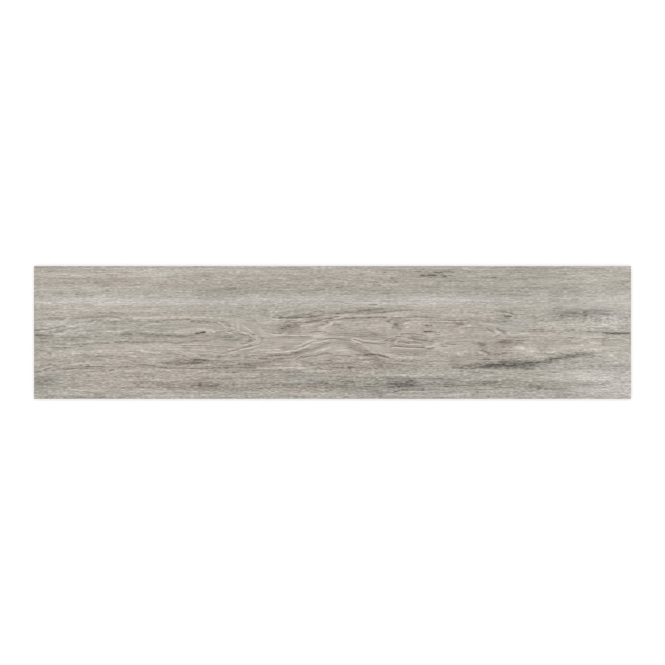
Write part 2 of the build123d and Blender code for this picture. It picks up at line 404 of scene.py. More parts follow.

# Lines of the figure, drawn over the rings: half width in millimetres, strength, points.
DARK_LINES = (
    # Tongue on the left
    (1.1, 1.1, (-452, 17.5), (-440, 18.6), (-430, 19.6), (-418, 20.5), (-404, 19.5)),
    (1.1, 1.4, (-398, 19.3), (-390, 20.2), (-380, 21.5), (-370, 22.6), (-354, 22.8)),
    (1.0, 1.7, (-354, 23.4), (-345, 24), (-333, 24), (-324, 22.5), (-318, 20.5)),
    (1.0, 1.8, (-363, 18.6), (-355, 18.8), (-345, 19)),
    (1.1, 1.4, (-450, 3), (-441, 4.2), (-430, 4.8), (-421, 7), (-412, 8.4), (-403, 9.6)),
    (1.6, 1.5, (-452, -3), (-440, -4), (-430, -3.8), (-421, -4.3)),
    (1.0, 0.8, (-427, 0.5), (-415, 0.8), (-404, 2.6)),
    (1.0, 1.3, (-442, -9.5), (-432, -9)),
    (1.0, 1.5, (-440, -13.4), (-428, -14)),
    (1.0, 0.7, (-430, -18), (-418, -17.5), (-404, -17)),
    (1.0, 1.3, (-427, -22.3), (-415, -23), (-402, -23), (-390, -22.4), (-384, -21.2), (-375, -21)),
    (1.2, 1.4, (-394, -18.8), (-384, -18), (-368, -17.3)),
    (1.0, 1.1, (-364, -16), (-350, -15.5), (-336, -15.6)),
    (1.3, 1.7, (-327, -15), (-316, -14), (-308, -12.8)),
    (1.1, 1.1, (-308, -14.4), (-285, -14.5), (-260, -14), (-246, -14.6), (-236, -16), (-222, -15),
     (-211, -14.3)),
    (1.5, 1.1, (-211, -13), (-202, -12.3), (-189, -13)),
    (1.2, 1.4, (-188, -13), (-185, -13)),
    (0.9, 0.8, (-404, -6.5), (-394, -7.5), (-386, -6.8), (-378, -3.5)),
    (0.9, 0.7, (-400, 5.5), (-387, 6)),
    (2.6, 0.8, (-322, -3), (-310, -3), (-303, -1.6), (-290, -2), (-272, -3), (-258, -4.6),
     (-244, -5), (-228, -5.6), (-208, -4.8)),
    (1.1, 0.8, (-318, 19), (-306, 19), (-297, 18), (-288, 19.6)),
    (2.0, 1.1, (-278, 17.8), (-268, 16.6), (-256, 15.8)),
    (1.0, 0.8, (-256, 18.6), (-240, 19), (-226, 19.6), (-212, 19.6)),
    (1.0, 0.7, (-333, 15.5), (-324, 16), (-308, 13.8)),
    (0.9, 1.1, (-293, 10.5), (-286, 10.7)),
    (1.3, 1.0, (-213, 17.2), (-203, 17.5), (-194, 17.1), (-184, 15.6), (-174, 15.2)),
    (0.9, 0.9, (-180, 17.6), (-171, 17.1), (-164, 16.3)),
    (0.9, 0.6, (-176, 13.4), (-170, 11.4), (-166, 9), (-162, 6)),
    (1.2, 0.8, (-163, 17), (-159, 14), (-156, 10), (-154.7, 6.5)),
    (1.3, 1.5, (-154.5, 2.7), (-150.5, 3)),
    (1.1, 1.1, (-176, 0.4), (-168, 1.5), (-156, 1.6)),
    (1.2, 3.5, (-206, -1.4), (-201, -1.1), (-197, 0), (-192, 0.3)),
    (0.7, 1.8, (-228, -19.6), (-210, -19.8), (-188, -19.4)),
    (0.9, 1.1, (-228, -22.3), (-213, -22.3)),
    (0.9, 0.9, (-176, -7.9), (-164, -7)),
    (1.3, 1.2, (-163, -7.5), (-151, -7.5)),
    (1.6, 1.2, (-163, -11), (-152, -11.5), (-139, -10.8)),
    # Tip of the tongue
    (0.9, 1.2, (-141, -1.9), (-133, -3.5), (-127, -5.5), (-121, -8)),
    (1.3, 1.4, (-126, -11), (-121.5, -11)),
    (1.0, 1.2, (-119.5, -9), (-115.5, -10.3)),
    (0.9, 0.8, (-130, -13.8), (-119, -12.8)),
    (1.1, 1.3, (-138, -16.9), (-129, -16.6)),
    (1.3, 1.2, (-120.5, -2.5), (-116.5, -3.4)),
    (0.9, 0.4, (-147, 17), (-140, 11), (-134, 4), (-127, 1), (-121.5, -2.6)),
    (0.9, 0.7, (-113, -6), (-106, -8.5), (-99, -9.6)),
    (1.0, 1.0, (-160, -22.5), (-151, -22.5)),
    (1.0, 0.8, (-200, -19), (-184, -20.2), (-170, -20.8), (-158, -20.4)),
    (0.9, 0.8, (-152, -23.6), (-142, -22.2), (-132, -20)),
    (1.0, 0.8, (-138, -24.4), (-128, -22.4), (-116, -20.8)),
    (1.0, 0.9, (-187, -28.3), (-178, -29.6), (-169, -31), (-162, -31), (-156, -28.8),
     (-147, -26.4), (-140, -24.5), (-132, -22.6), (-120, -19.4)),
    # Foot of the left sill
    (0.9, 0.6, (-320, -28), (-305, -29), (-289, -28.5)),
    (0.9, 0.7, (-302, -32), (-280, -32.2), (-268, -33.5), (-246, -32.6), (-222, -35)),
    (0.9, 0.8, (-256, -30), (-247, -31)),
    (0.9, 0.8, (-387, -36.3), (-380, -35), (-375, -33.5), (-370, -34.4), (-367, -36.3)),
    (0.9, 0.8, (-356, -36), (-343, -36.4)),
    (1.0, 1.0, (-381, -43.7), (-373, -43.7)),
    (1.0, 1.0, (-351, -43.7), (-342, -41.9)),
    (1.0, 1.0, (-431, -31.5), (-424, -31.5)),
    (1.1, 1.5, (-452, -59.4), (-443, -58.8), (-436, -56.8), (-427, -54.3)),
    (1.2, 1.4, (-429, -48.6), (-423, -48)),
    (1.0, 0.4, (-424, -49), (-415, -46.6), (-408, -43.8)),
    (1.0, 0.9, (-441, -50.6), (-431, -50)),
    (1.0, 1.3, (-421, -50), (-411, -51.2)),
    (0.9, 0.8, (-405, -47.6), (-395, -46.4)),
    (1.2, 1.0, (-405, -55.5), (-390, -55)),
    (1.0, 0.6, (-382, -54.6), (-368, -54)),
    (1.0, 0.9, (-374, -52.1), (-363, -51.3), (-348, -53.2)),
    (1.1, 1.1, (-348, -56), (-342, -56)),
    (1.0, 1.1, (-321, -51), (-307, -51.6)),
    (1.0, 1.4, (-337, -56.6), (-328, -56)),
    (1.0, 0.9, (-291, -48.7), (-283, -48)),
    (1.2, 1.2, (-284, -50), (-272, -50), (-262, -51.5), (-252, -53.3), (-240, -53), (-224, -53.8)),
    (1.1, 1.1, (-257, -45), (-250, -46), (-243, -46)),
    (0.9, 0.6, (-242, -40.5), (-230, -39.5), (-221, -41.4)),
    (1.4, 1.2, (-230.5, -41.5), (-230, -49)),
    (1.5, 1.8, (-209, -41.5), (-204.5, -41)),
    (1.2, 1.3, (-203.5, -42), (-198, -41.7)),
    (1.4, 2.0, (-196.5, -41.7), (-190.5, -42.2)),
    (1.2, 1.0, (-213, -45.2), (-206, -45.5), (-197, -45)),
    (1.0, 1.1, (-187, -42.3), (-171, -42.5)),
    (1.0, 1.0, (-166, -44.2), (-159, -44.9)),
    (1.0, 0.7, (-156, -43.4), (-147, -45.2)),
    (1.0, 1.0, (-143, -46.8), (-137, -47)),
    (1.4, 1.2, (-133, -47.2), (-126, -47.5)),
    (1.0, 0.7, (-198, -34.6), (-187, -34)),
    (0.9, 0.8, (-173, -36.3), (-162, -36)),
    (1.2, 1.1, (-151, -36.2), (-145, -35), (-141, -34.2)),
    (1.0, 0.8, (-173, -39.3), (-164, -39.3)),
    (1.2, 1.1, (-132, -37.9), (-124, -36.8)),
    (1.1, 1.1, (-124, -35), (-117, -35)),
    (0.9, 1.0, (-228, -54.5), (-215, -54), (-200, -54.3), (-189, -53.4)),
    (1.0, 1.3, (-181, -52.7), (-165, -53), (-140, -52.8), (-114, -52.8)),
    (0.9, 0.8, (-166, -50), (-149, -49.8)),
    (1.0, 1.5, (-161, -60.5), (-147, -60.5)),
    (0.9, 0.8, (-126, -57), (-107, -56.4)),
    # Saddle and brow
    (1.2, 1.9, (-82, 21.7), (-70, 21.9)),
    (1.0, 0.8, (-92, 22), (-82, 22)),
    (1.0, 1.2, (-70, 22), (-57, 22.2)),
    (1.2, 1.8, (-57, 22.4), (-44, 22.3)),
    (1.1, 1.4, (-42, 22.7), (-32, 22.9)),
    (1.1, 1.1, (-32, 23.8), (-23, 24.4), (-16, 26)),
    (0.9, 0.8, (-91, 18), (-75, 18), (-55, 18.1)),
    (0.9, 1.1, (-71, 15.2), (-57, 15), (-46, 15)),
    (1.0, 0.9, (-46, 14.4), (-36, 15.4), (-29, 16.4)),
    (1.3, 1.6, (-29, 16.5), (-21.5, 17)),
    (1.1, 1.2, (-21, 17.2), (-15, 19.2), (-11, 21.4)),
    (1.1, 1.8, (-11, 21.7), (-1, 21.9), (5, 23.4), (9, 24)),
    (1.4, 1.0, (-19, 11.3), (-11.5, 12.7)),
    (1.3, 1.4, (-8.3, 14.3), (-6.8, 14.7)),
    (0.9, 0.4, (-3, 18.4), (8, 19.4), (14, 20)),
    (1.3, 1.7, (-68, 9), (-64, 9)),
    (1.4, 1.7, (-78, 6), (-74, 6.2)),
    (1.0, 1.0, (-69, 1.7), (-59, 1.6)),
    (1.1, 0.8, (-82.5, 2.2), (-79, 2.4)),
    (1.0, 0.9, (-70, 12), (-63, 12)),
    (0.9, 0.8, (-58, 12), (-54, 12)),
    (0.9, 1.1, (-91, -1.5), (-77, -1.5)),
    (0.9, 0.9, (-67, -1.6), (-59, -1.6)),
    (1.0, 1.0, (-34, 0), (-28, 1.3), (-20, 1.6), (-9, 1.6)),
    (1.2, 0.9, (-84, -6.5), (-75, -6.8), (-62, -6.5), (-33, -6.2)),
    (1.1, 0.9, (-68, -8.7), (-63, -8.8)),
    (1.0, 1.1, (-23, -10.5), (-14, -10.8), (-4, -9.3), (6, -8.8)),
    (1.0, 1.0, (-130, 18.3), (-122, 17.8), (-113, 16.8)),
    (1.0, 1.0, (-156, 25.5), (-149, 25.5)),
    (1.2, 1.0, (-28, 32), (-18, 31.5)),
    (1.2, 1.8, (-17.5, 32.5), (-13.5, 32)),
    (1.1, 1.0, (-38, 27.6), (-33, 27)),
    (1.3, 1.2, (14, 21.2), (32, 21.8), (48, 22), (64, 23.1), (81, 22.5)),
    (1.4, 1.0, (3, 28.8), (20, 29.6), (34, 30.4), (55, 29.8), (74, 30), (88, 32), (99, 33.4)),
    (1.2, 1.4, (39, 33), (50, 33.4), (62, 34.4), (76, 35.4)),
    (1.1, 1.1, (102, 33.3), (127, 33.6)),
    # Arch
    (0.9, 0.6, (-58, -26.3), (-52, -23.8), (-47, -22), (-40, -18.5), (-35, -16), (-29, -13.2)),
    (1.6, 1.3, (-98, -35.3), (-92, -34.2), (-79, -34.5)),
    (1.6, 1.2, (-76, -33), (-63, -33.3)),
    (1.6, 0.8, (-63, -31), (-52, -29.2), (-43, -26.2), (-36, -25)),
    (1.1, 1.5, (-42, -25.7), (-38, -25.4)),
    (2.0, 0.8, (-36, -27), (-28, -24.8), (-20, -20.6), (-12, -17.8), (-4, -16)),
    (1.0, 1.8, (-112, -39.5), (-99, -38.9)),
    (1.0, 0.8, (-88, -40), (-70, -39)),
    (1.2, 1.5, (-54, -39.9), (-48, -37.6), (-42, -36.8), (-35, -36), (-26, -35), (-18, -33),
     (-10, -31), (-4, -31)),
    (1.2, 1.1, (-4, -32), (2, -33.6), (12, -34.5), (22, -35.4), (28, -36.7)),
    (1.1, 1.2, (-14.5, -15), (-11, -15)),
    (1.2, 1.2, (10, -10.6), (20, -11.5), (28, -12.1)),
    (0.9, 1.1, (32, -10), (40, -12), (46, -14), (53, -15.2), (60, -16.2), (70, -17), (79, -16.6)),
    (1.2, 1.7, (37, -16.6), (40, -16.9)),
    (0.9, 0.8, (30, -6), (45, -6.6), (53, -6)),
    (1.2, 1.1, (49.5, -27.4), (54.5, -28.3)),
    (1.2, 1.4, (23, -22.6), (29.5, -22.8)),
    (1.1, 0.4, (27.5, -19.6), (31.5, -19)),
    (1.2, 0.8, (24.5, -28.5), (29.5, -29)),
    (1.8, 0.9, (40, -33.7), (52, -34)),
    (1.2, 2.4, (52, -33.2), (62, -33.2), (70, -33.8), (76, -35.2), (84, -37.6)),
    (1.2, 0.9, (41, -41), (57, -41)),
    (1.0, 0.7, (29, -40.5), (41, -41)),
    (1.2, 1.2, (64, -41.4), (71, -43.4), (78, -44)),
    (1.2, 1.3, (67.5, -49.4), (72, -50), (75.5, -51.8)),
    (1.0, 0.9, (74, -46.8), (90, -47.5), (102, -48)),
    (1.1, 1.0, (86, -39.5), (93.5, -39.5)),
    (1.2, 1.1, (22, -53.6), (32, -53)),
    (1.1, 0.9, (-23, -52.6), (-14.5, -56.2)),
    (1.3, 1.2, (-105, -44.6), (-94, -44)),
    (1.0, 1.0, (-119, -47), (-103, -46.5)),
    (1.0, 0.7, (-126, -49.8), (-118, -49.8)),
    (0.9, 0.9, (-113, -56.5), (-90, -56), (-77, -56)),
    (1.1, 1.1, (-51, -60), (-43, -60)),
    # Right heart and the eye
    (1.0, 1.2, (7, -1.5), (23, -1.6)),
    (1.2, 1.0, (57, -3.3), (67, -3.5)),
    (1.0, 1.2, (78, 17), (86, 17)),
    (1.5, 2.0, (92.5, 11.8), (98.5, 11.9)),
    (1.1, 1.2, (89.5, 7.9), (95, 7.2), (103.5, 4.4)),
    (1.0, 1.2, (84, 19.6), (92, 21.6), (107, 21.3), (113, 22.3), (120, 23.3), (130, 23.5),
     (140, 22.8), (154, 22.2)),
    (1.0, 0.6, (97, 16.4), (105, 16.8), (112, 18), (118, 18.7)),
    (0.9, 0.7, (116, 13.8), (128, 14.5), (155, 15), (173, 14.8)),
    (0.9, 1.2, (158, 18.3), (175, 18.2), (202, 18)),
    (1.0, 1.2, (185, 15), (197, 15)),
    (1.4, 2.3, (140, 10.5), (143.5, 10.4)),
    (1.3, 1.2, (146.5, 10.8), (149, 10.8)),
    (1.2, 1.2, (186, 12), (197, 12)),
    (1.1, 2.5, (138, 1.4), (150.5, 1.4)),
    (0.9, 0.9, (154, 0.2), (163, 0.2)),
    (0.7, 1.7, (154, -3.3), (163, -3.4)),
    (1.0, 1.2, (102, -1.8), (112, -1.5), (120, -1.8), (128, -2.5), (135, -4), (143, -5.6)),
    (1.0, 1.2, (81, -10), (89, -8), (95, -6.5), (103, -6)),
    (1.1, 1.8, (78, -11.6), (83.5, -11)),
    (1.3, 1.4, (87.5, -12.2), (93, -11.5), (97, -9.4)),
    (1.0, 1.3, (115, -8.7), (122, -9.8), (130, -10.8), (138, -12), (145, -13), (153, -14.3)),
    (1.2, 1.2, (100, -13.8), (108, -14.8), (117, -16.6)),
    (1.3, 1.4, (114, -13.8), (122, -14.3), (128, -15.1), (134, -15.6)),
    (1.1, 1.6, (88, -20.8), (100, -20.8), (112, -21.8), (126, -22.4)),
    (1.2, 2.2, (126, -22.5), (138, -22.4)),
    (1.3, 2.1, (142.5, -24.4), (148, -24), (153, -22.8)),
    (1.3, 1.3, (148.5, -17.8), (150.5, -17.8)),
    (1.1, 1.4, (164, -20.9), (171, -21.2)),
    (1.0, 1.2, (170, -15.8), (176, -17), (185, -18.4)),
    (0.9, 0.9, (149, -10.8), (158, -11), (167, -13.2)),
    (1.0, 1.3, (124, -32.5), (142, -32.5)),
    (1.0, 1.2, (119.5, -40.8), (125, -41)),
    (1.1, 1.0, (125.5, -42), (132, -42)),
    (1.0, 0.5, (104, -42.5), (111, -42.5)),
    (1.2, 1.2, (176.5, -43), (181, -43)),
    # Right tip, fan and small eye
    (1.8, 1.0, (218, -15.6), (229, -17.6)),
    (1.0, 1.5, (223, -20), (230, -19.5)),
    (1.5, 2.2, (259, 24.4), (269, 24.2)),
    (1.2, 1.2, (251, 31.6), (258, 31), (265, 29.8), (272, 27.8), (278, 25.7)),
    (1.2, 0.9, (246, 21), (255, 20.4)),
    (1.1, 0.5, (261, 21.8), (269, 21.5)),
    (1.0, 0.9, (258, 17), (264, 16.4)),
    (1.0, 0.8, (248, 15.5), (254, 15.3)),
    (1.0, 0.8, (253, 11.5), (259, 11.5)),
    (0.9, 0.4, (273, 37.4), (285, 33.8), (294, 29.8)),
    (1.1, 1.5, (233, 6.6), (238, 3.2), (243, 1), (247, -0.8)),
    (1.2, 1.6, (248, 6.4), (254, 3), (258, 0.5), (261, -1.2)),
    (1.2, 1.0, (246.5, -5.7), (251.5, -3.7)),
    (1.0, 0.8, (231, -10), (237, -10)),
    (1.6, 1.3, (249.5, -13.9), (256, -14.3)),
    (1.5, 1.0, (253, -13.2), (262, -12.6), (271, -13.6)),
    (1.1, 1.0, (255, -15.4), (267, -15.4)),
    (1.1, 1.2, (275, -12.3), (289, -12)),
    (1.0, 0.9, (275, -15.5), (287, -15.6)),
    (1.2, 1.5, (225, -26.4), (231, -29), (236, -31.5), (242, -32.5), (252, -32), (263, -30.7)),
    (0.9, 1.0, (297, 4.5), (310, 4.3), (322, 4.5)),
    (1.2, 1.0, (331, 6), (333, 6)),
    (0.9, 0.8, (294, 1.3), (308, 1), (332, 1.8)),
    (0.8, 0.6, (277, -1.5), (283, -1.3)),
    (1.0, 0.6, (265, -7), (275, -7.5), (297, -8)),
    (0.9, 0.6, (306, -38.2), (326, -37.6)),
    (1.0, 1.3, (350, 4.7), (366, 4.2)),
    (1.0, 1.5, (385.5, 1.8), (391.5, 1.5)),
    (1.3, 0.9, (391, 0.5), (409, 0.7)),
    (1.5, 2.4, (408, -0.2), (415, -0.7), (420, -1.2), (430, -1.6), (437, -1.2), (452, -0.8)),
    (0.9, 1.4, (338, -1.8), (344, -1.7)),
    (0.9, 0.9, (354, -7.9), (363, -7.4)),
    (0.9, 0.9, (379, -10.6), (392, -9.5), (411, -9)),
    (1.1, 0.9, (406.5, -13.6), (409.5, -18)),
    (0.9, 0.7, (409, -12.3), (425, -11.5), (440, -12), (445, -14.4)),
    # Charcoal streak
    (1.3, 1.4, (181, -52.8), (195, -53.4), (205, -54), (217, -54.3)),
    (1.1, 1.0, (199, -50.8), (216, -51)),
    (1.1, 0.9, (207, -47.2), (224, -46.8)),
    (1.2, 1.3, (221, -41), (237, -40.8)),
    (1.6, 1.4, (222, -51.6), (240, -51), (258, -50.4), (276, -49.6)),
    (1.3, 0.8, (232, -47.4), (252, -47.6), (270, -47.2)),
    (1.2, 1.2, (252, -44.3), (268, -43.7), (283, -43.6)),
    (1.4, 1.0, (262, -53), (280, -53.6), (302, -54.4)),
    (1.6, 1.0, (274, -46), (290, -45.4), (304, -45.4)),
    (1.5, 0.9, (286, -48.6), (300, -49.6)),
    (1.4, 0.9, (304, -45), (316, -43.9), (327, -42.6)),
    (2.6, 0.7, (320, -43.6), (334, -40.2), (346, -37.8), (360, -35.8), (374, -33.6), (388, -32.4)),
    (1.2, 0.8, (326, -41.2), (338, -38), (350, -35.8), (364, -33.6), (378, -32), (388, -31.6)),
    (1.1, 0.6, (334, -41.3), (351, -38.9), (364, -36.6)),
    (1.0, 0.7, (320, -32.4), (332, -32.4), (345, -31)),
    (1.0, 0.8, (386, -33.4), (395, -35.6)),
    (1.0, 1.0, (390.5, -36), (395, -36)),
    (1.0, 1.2, (390, -32.4), (394, -31.8)),
    (1.1, 0.9, (403, -46.8), (405, -46.9)),
    (1.1, 0.9, (404, -51.4), (407, -51.2)),
    (1.1, 1.0, (389.5, -50), (392.5, -50)),
    (1.0, 0.8, (419, -54), (430, -55.5)),
    (0.9, 0.7, (427, -51), (440, -50.5), (446, -51)),
    # Smear in the fan
    (1.3, 0.8, (344, 25.6), (356, 25.2)),
    (1.4, 0.6, (349, 30), (364, 30)),
    (1.2, 0.5, (365, 28.1), (377, 27.4)),
    (1.5, 1.4, (378.5, 30.6), (384, 31.6)),
    (1.1, 1.0, (378, 27), (384, 26.5)),
    (1.3, 1.3, (390, 30.8), (393.5, 29.3)),
    (1.3, 0.7, (402, 27.5), (416, 27.5)),
    (1.0, 0.9, (342, 22.9), (351, 22.2)),
    (1.8, 0.5, (394, 33), (415, 32.5), (430, 31.4)),
    (1.5, 0.6, (333, 36), (352, 36.5)),
    # Dashes in the straight grain above
    (1.1, 1.6, (127, 92), (132, 92)),
    (1.1, 2.3, (132, 86), (139, 85.5)),
    (1.1, 3.0, (142, 86), (155, 86)),
    (1.1, 1.8, (154, 90.5), (166, 90.5)),
    (1.0, 1.5, (168, 91.5), (176, 91.7)),
    (1.0, 1.5, (178, 90.3), (182, 90.3)),
    (1.0, 2.4, (166, 84.5), (171, 84.2)),
    (1.0, 0.8, (88, 81.3), (103, 81.3)),
    (1.0, 1.3, (180, 80), (186, 80)),
    (1.0, 1.3, (226, 83.7), (233, 83.7)),
    (1.0, 1.5, (240, 83.3), (246, 83.4)),
    (1.0, 0.9, (253, 79.6), (261, 79.6)),
    (1.0, 1.5, (287, 80), (294, 80)),
    (1.0, 1.8, (5, 67.6), (15, 67.6)),
    (1.0, 1.6, (61, 72), (71, 72)),
    (1.0, 0.8, (67, 58.5), (82, 58.5)),
    (0.9, 1.8, (56, 42.1), (67, 42.1)),
    (0.8, 0.8, (238, 58), (265, 57), (298, 55)),
    (0.9, 0.6, (329, 61.5), (343, 61.5)),
    (0.9, 0.8, (-178, 64.5), (-160, 65.5), (-138, 65.5)),
    (0.9, 0.6, (-397, 63), (-368, 63)),
    (0.9, 1.3, (-387, 57), (-363, 55.5)),
    (0.9, 0.6, (-332, 54.5), (-298, 53)),
    # Dashes in the straight grain below
    (2.0, 0.6, (-302, -83), (-270, -83), (-222, -83)),
    (1.6, 1.0, (-212, -80.5), (-190, -81), (-173, -80)),
    (0.9, 0.6, (-208, -84), (-148, -84)),
    (1.1, 1.5, (-92, -78.5), (-81, -78.5)),
    (1.1, 1.2, (-76, -79), (-47, -78)),
    (0.9, 0.9, (-22, -75.5), (-7, -75.5)),
    (1.5, 0.6, (0, -81.5), (40, -82), (64, -81)),
    (1.0, 1.4, (13, -74.2), (30, -74.2)),
    (1.0, 1.0, (81, -77), (96, -77)),
    (1.1, 1.4, (99, -77.5), (111, -78.3)),
    (1.0, 2.4, (117, -78.5), (123, -78.5)),
    (1.1, 1.5, (84, -82.5), (101, -82)),
    (1.1, 1.1, (104, -81), (123, -81.6)),
    (1.0, 1.8, (92, -90), (103, -87), (113, -86.5)),
    (1.0, 1.3, (117, -86.5), (136, -86)),
    (1.0, 0.8, (109, -75.7), (119, -74.2)),
    (0.9, 1.6, (114, -72.5), (121, -73)),
    (1.0, 1.1, (158, -69.5), (164, -69.5)),
    (1.0, 0.9, (174, -71.3), (189, -72)),
    (1.0, 1.0, (172, -81.3), (184, -83.8)),
    (1.0, 0.4, (203, -75.5), (213, -74.5)),
    (1.1, 1.4, (214, -76.5), (233, -77)),
    (1.1, 1.1, (233, -76.5), (244, -76.5)),
    (1.0, 1.3, (244, -83), (274, -83)),
    (1.0, 0.9, (289, -82.3), (316, -81.3)),
    (1.0, 1.2, (309, -84.6), (317, -84.6)),
    (1.0, 1.2, (326, -84), (359, -84.5)),
)

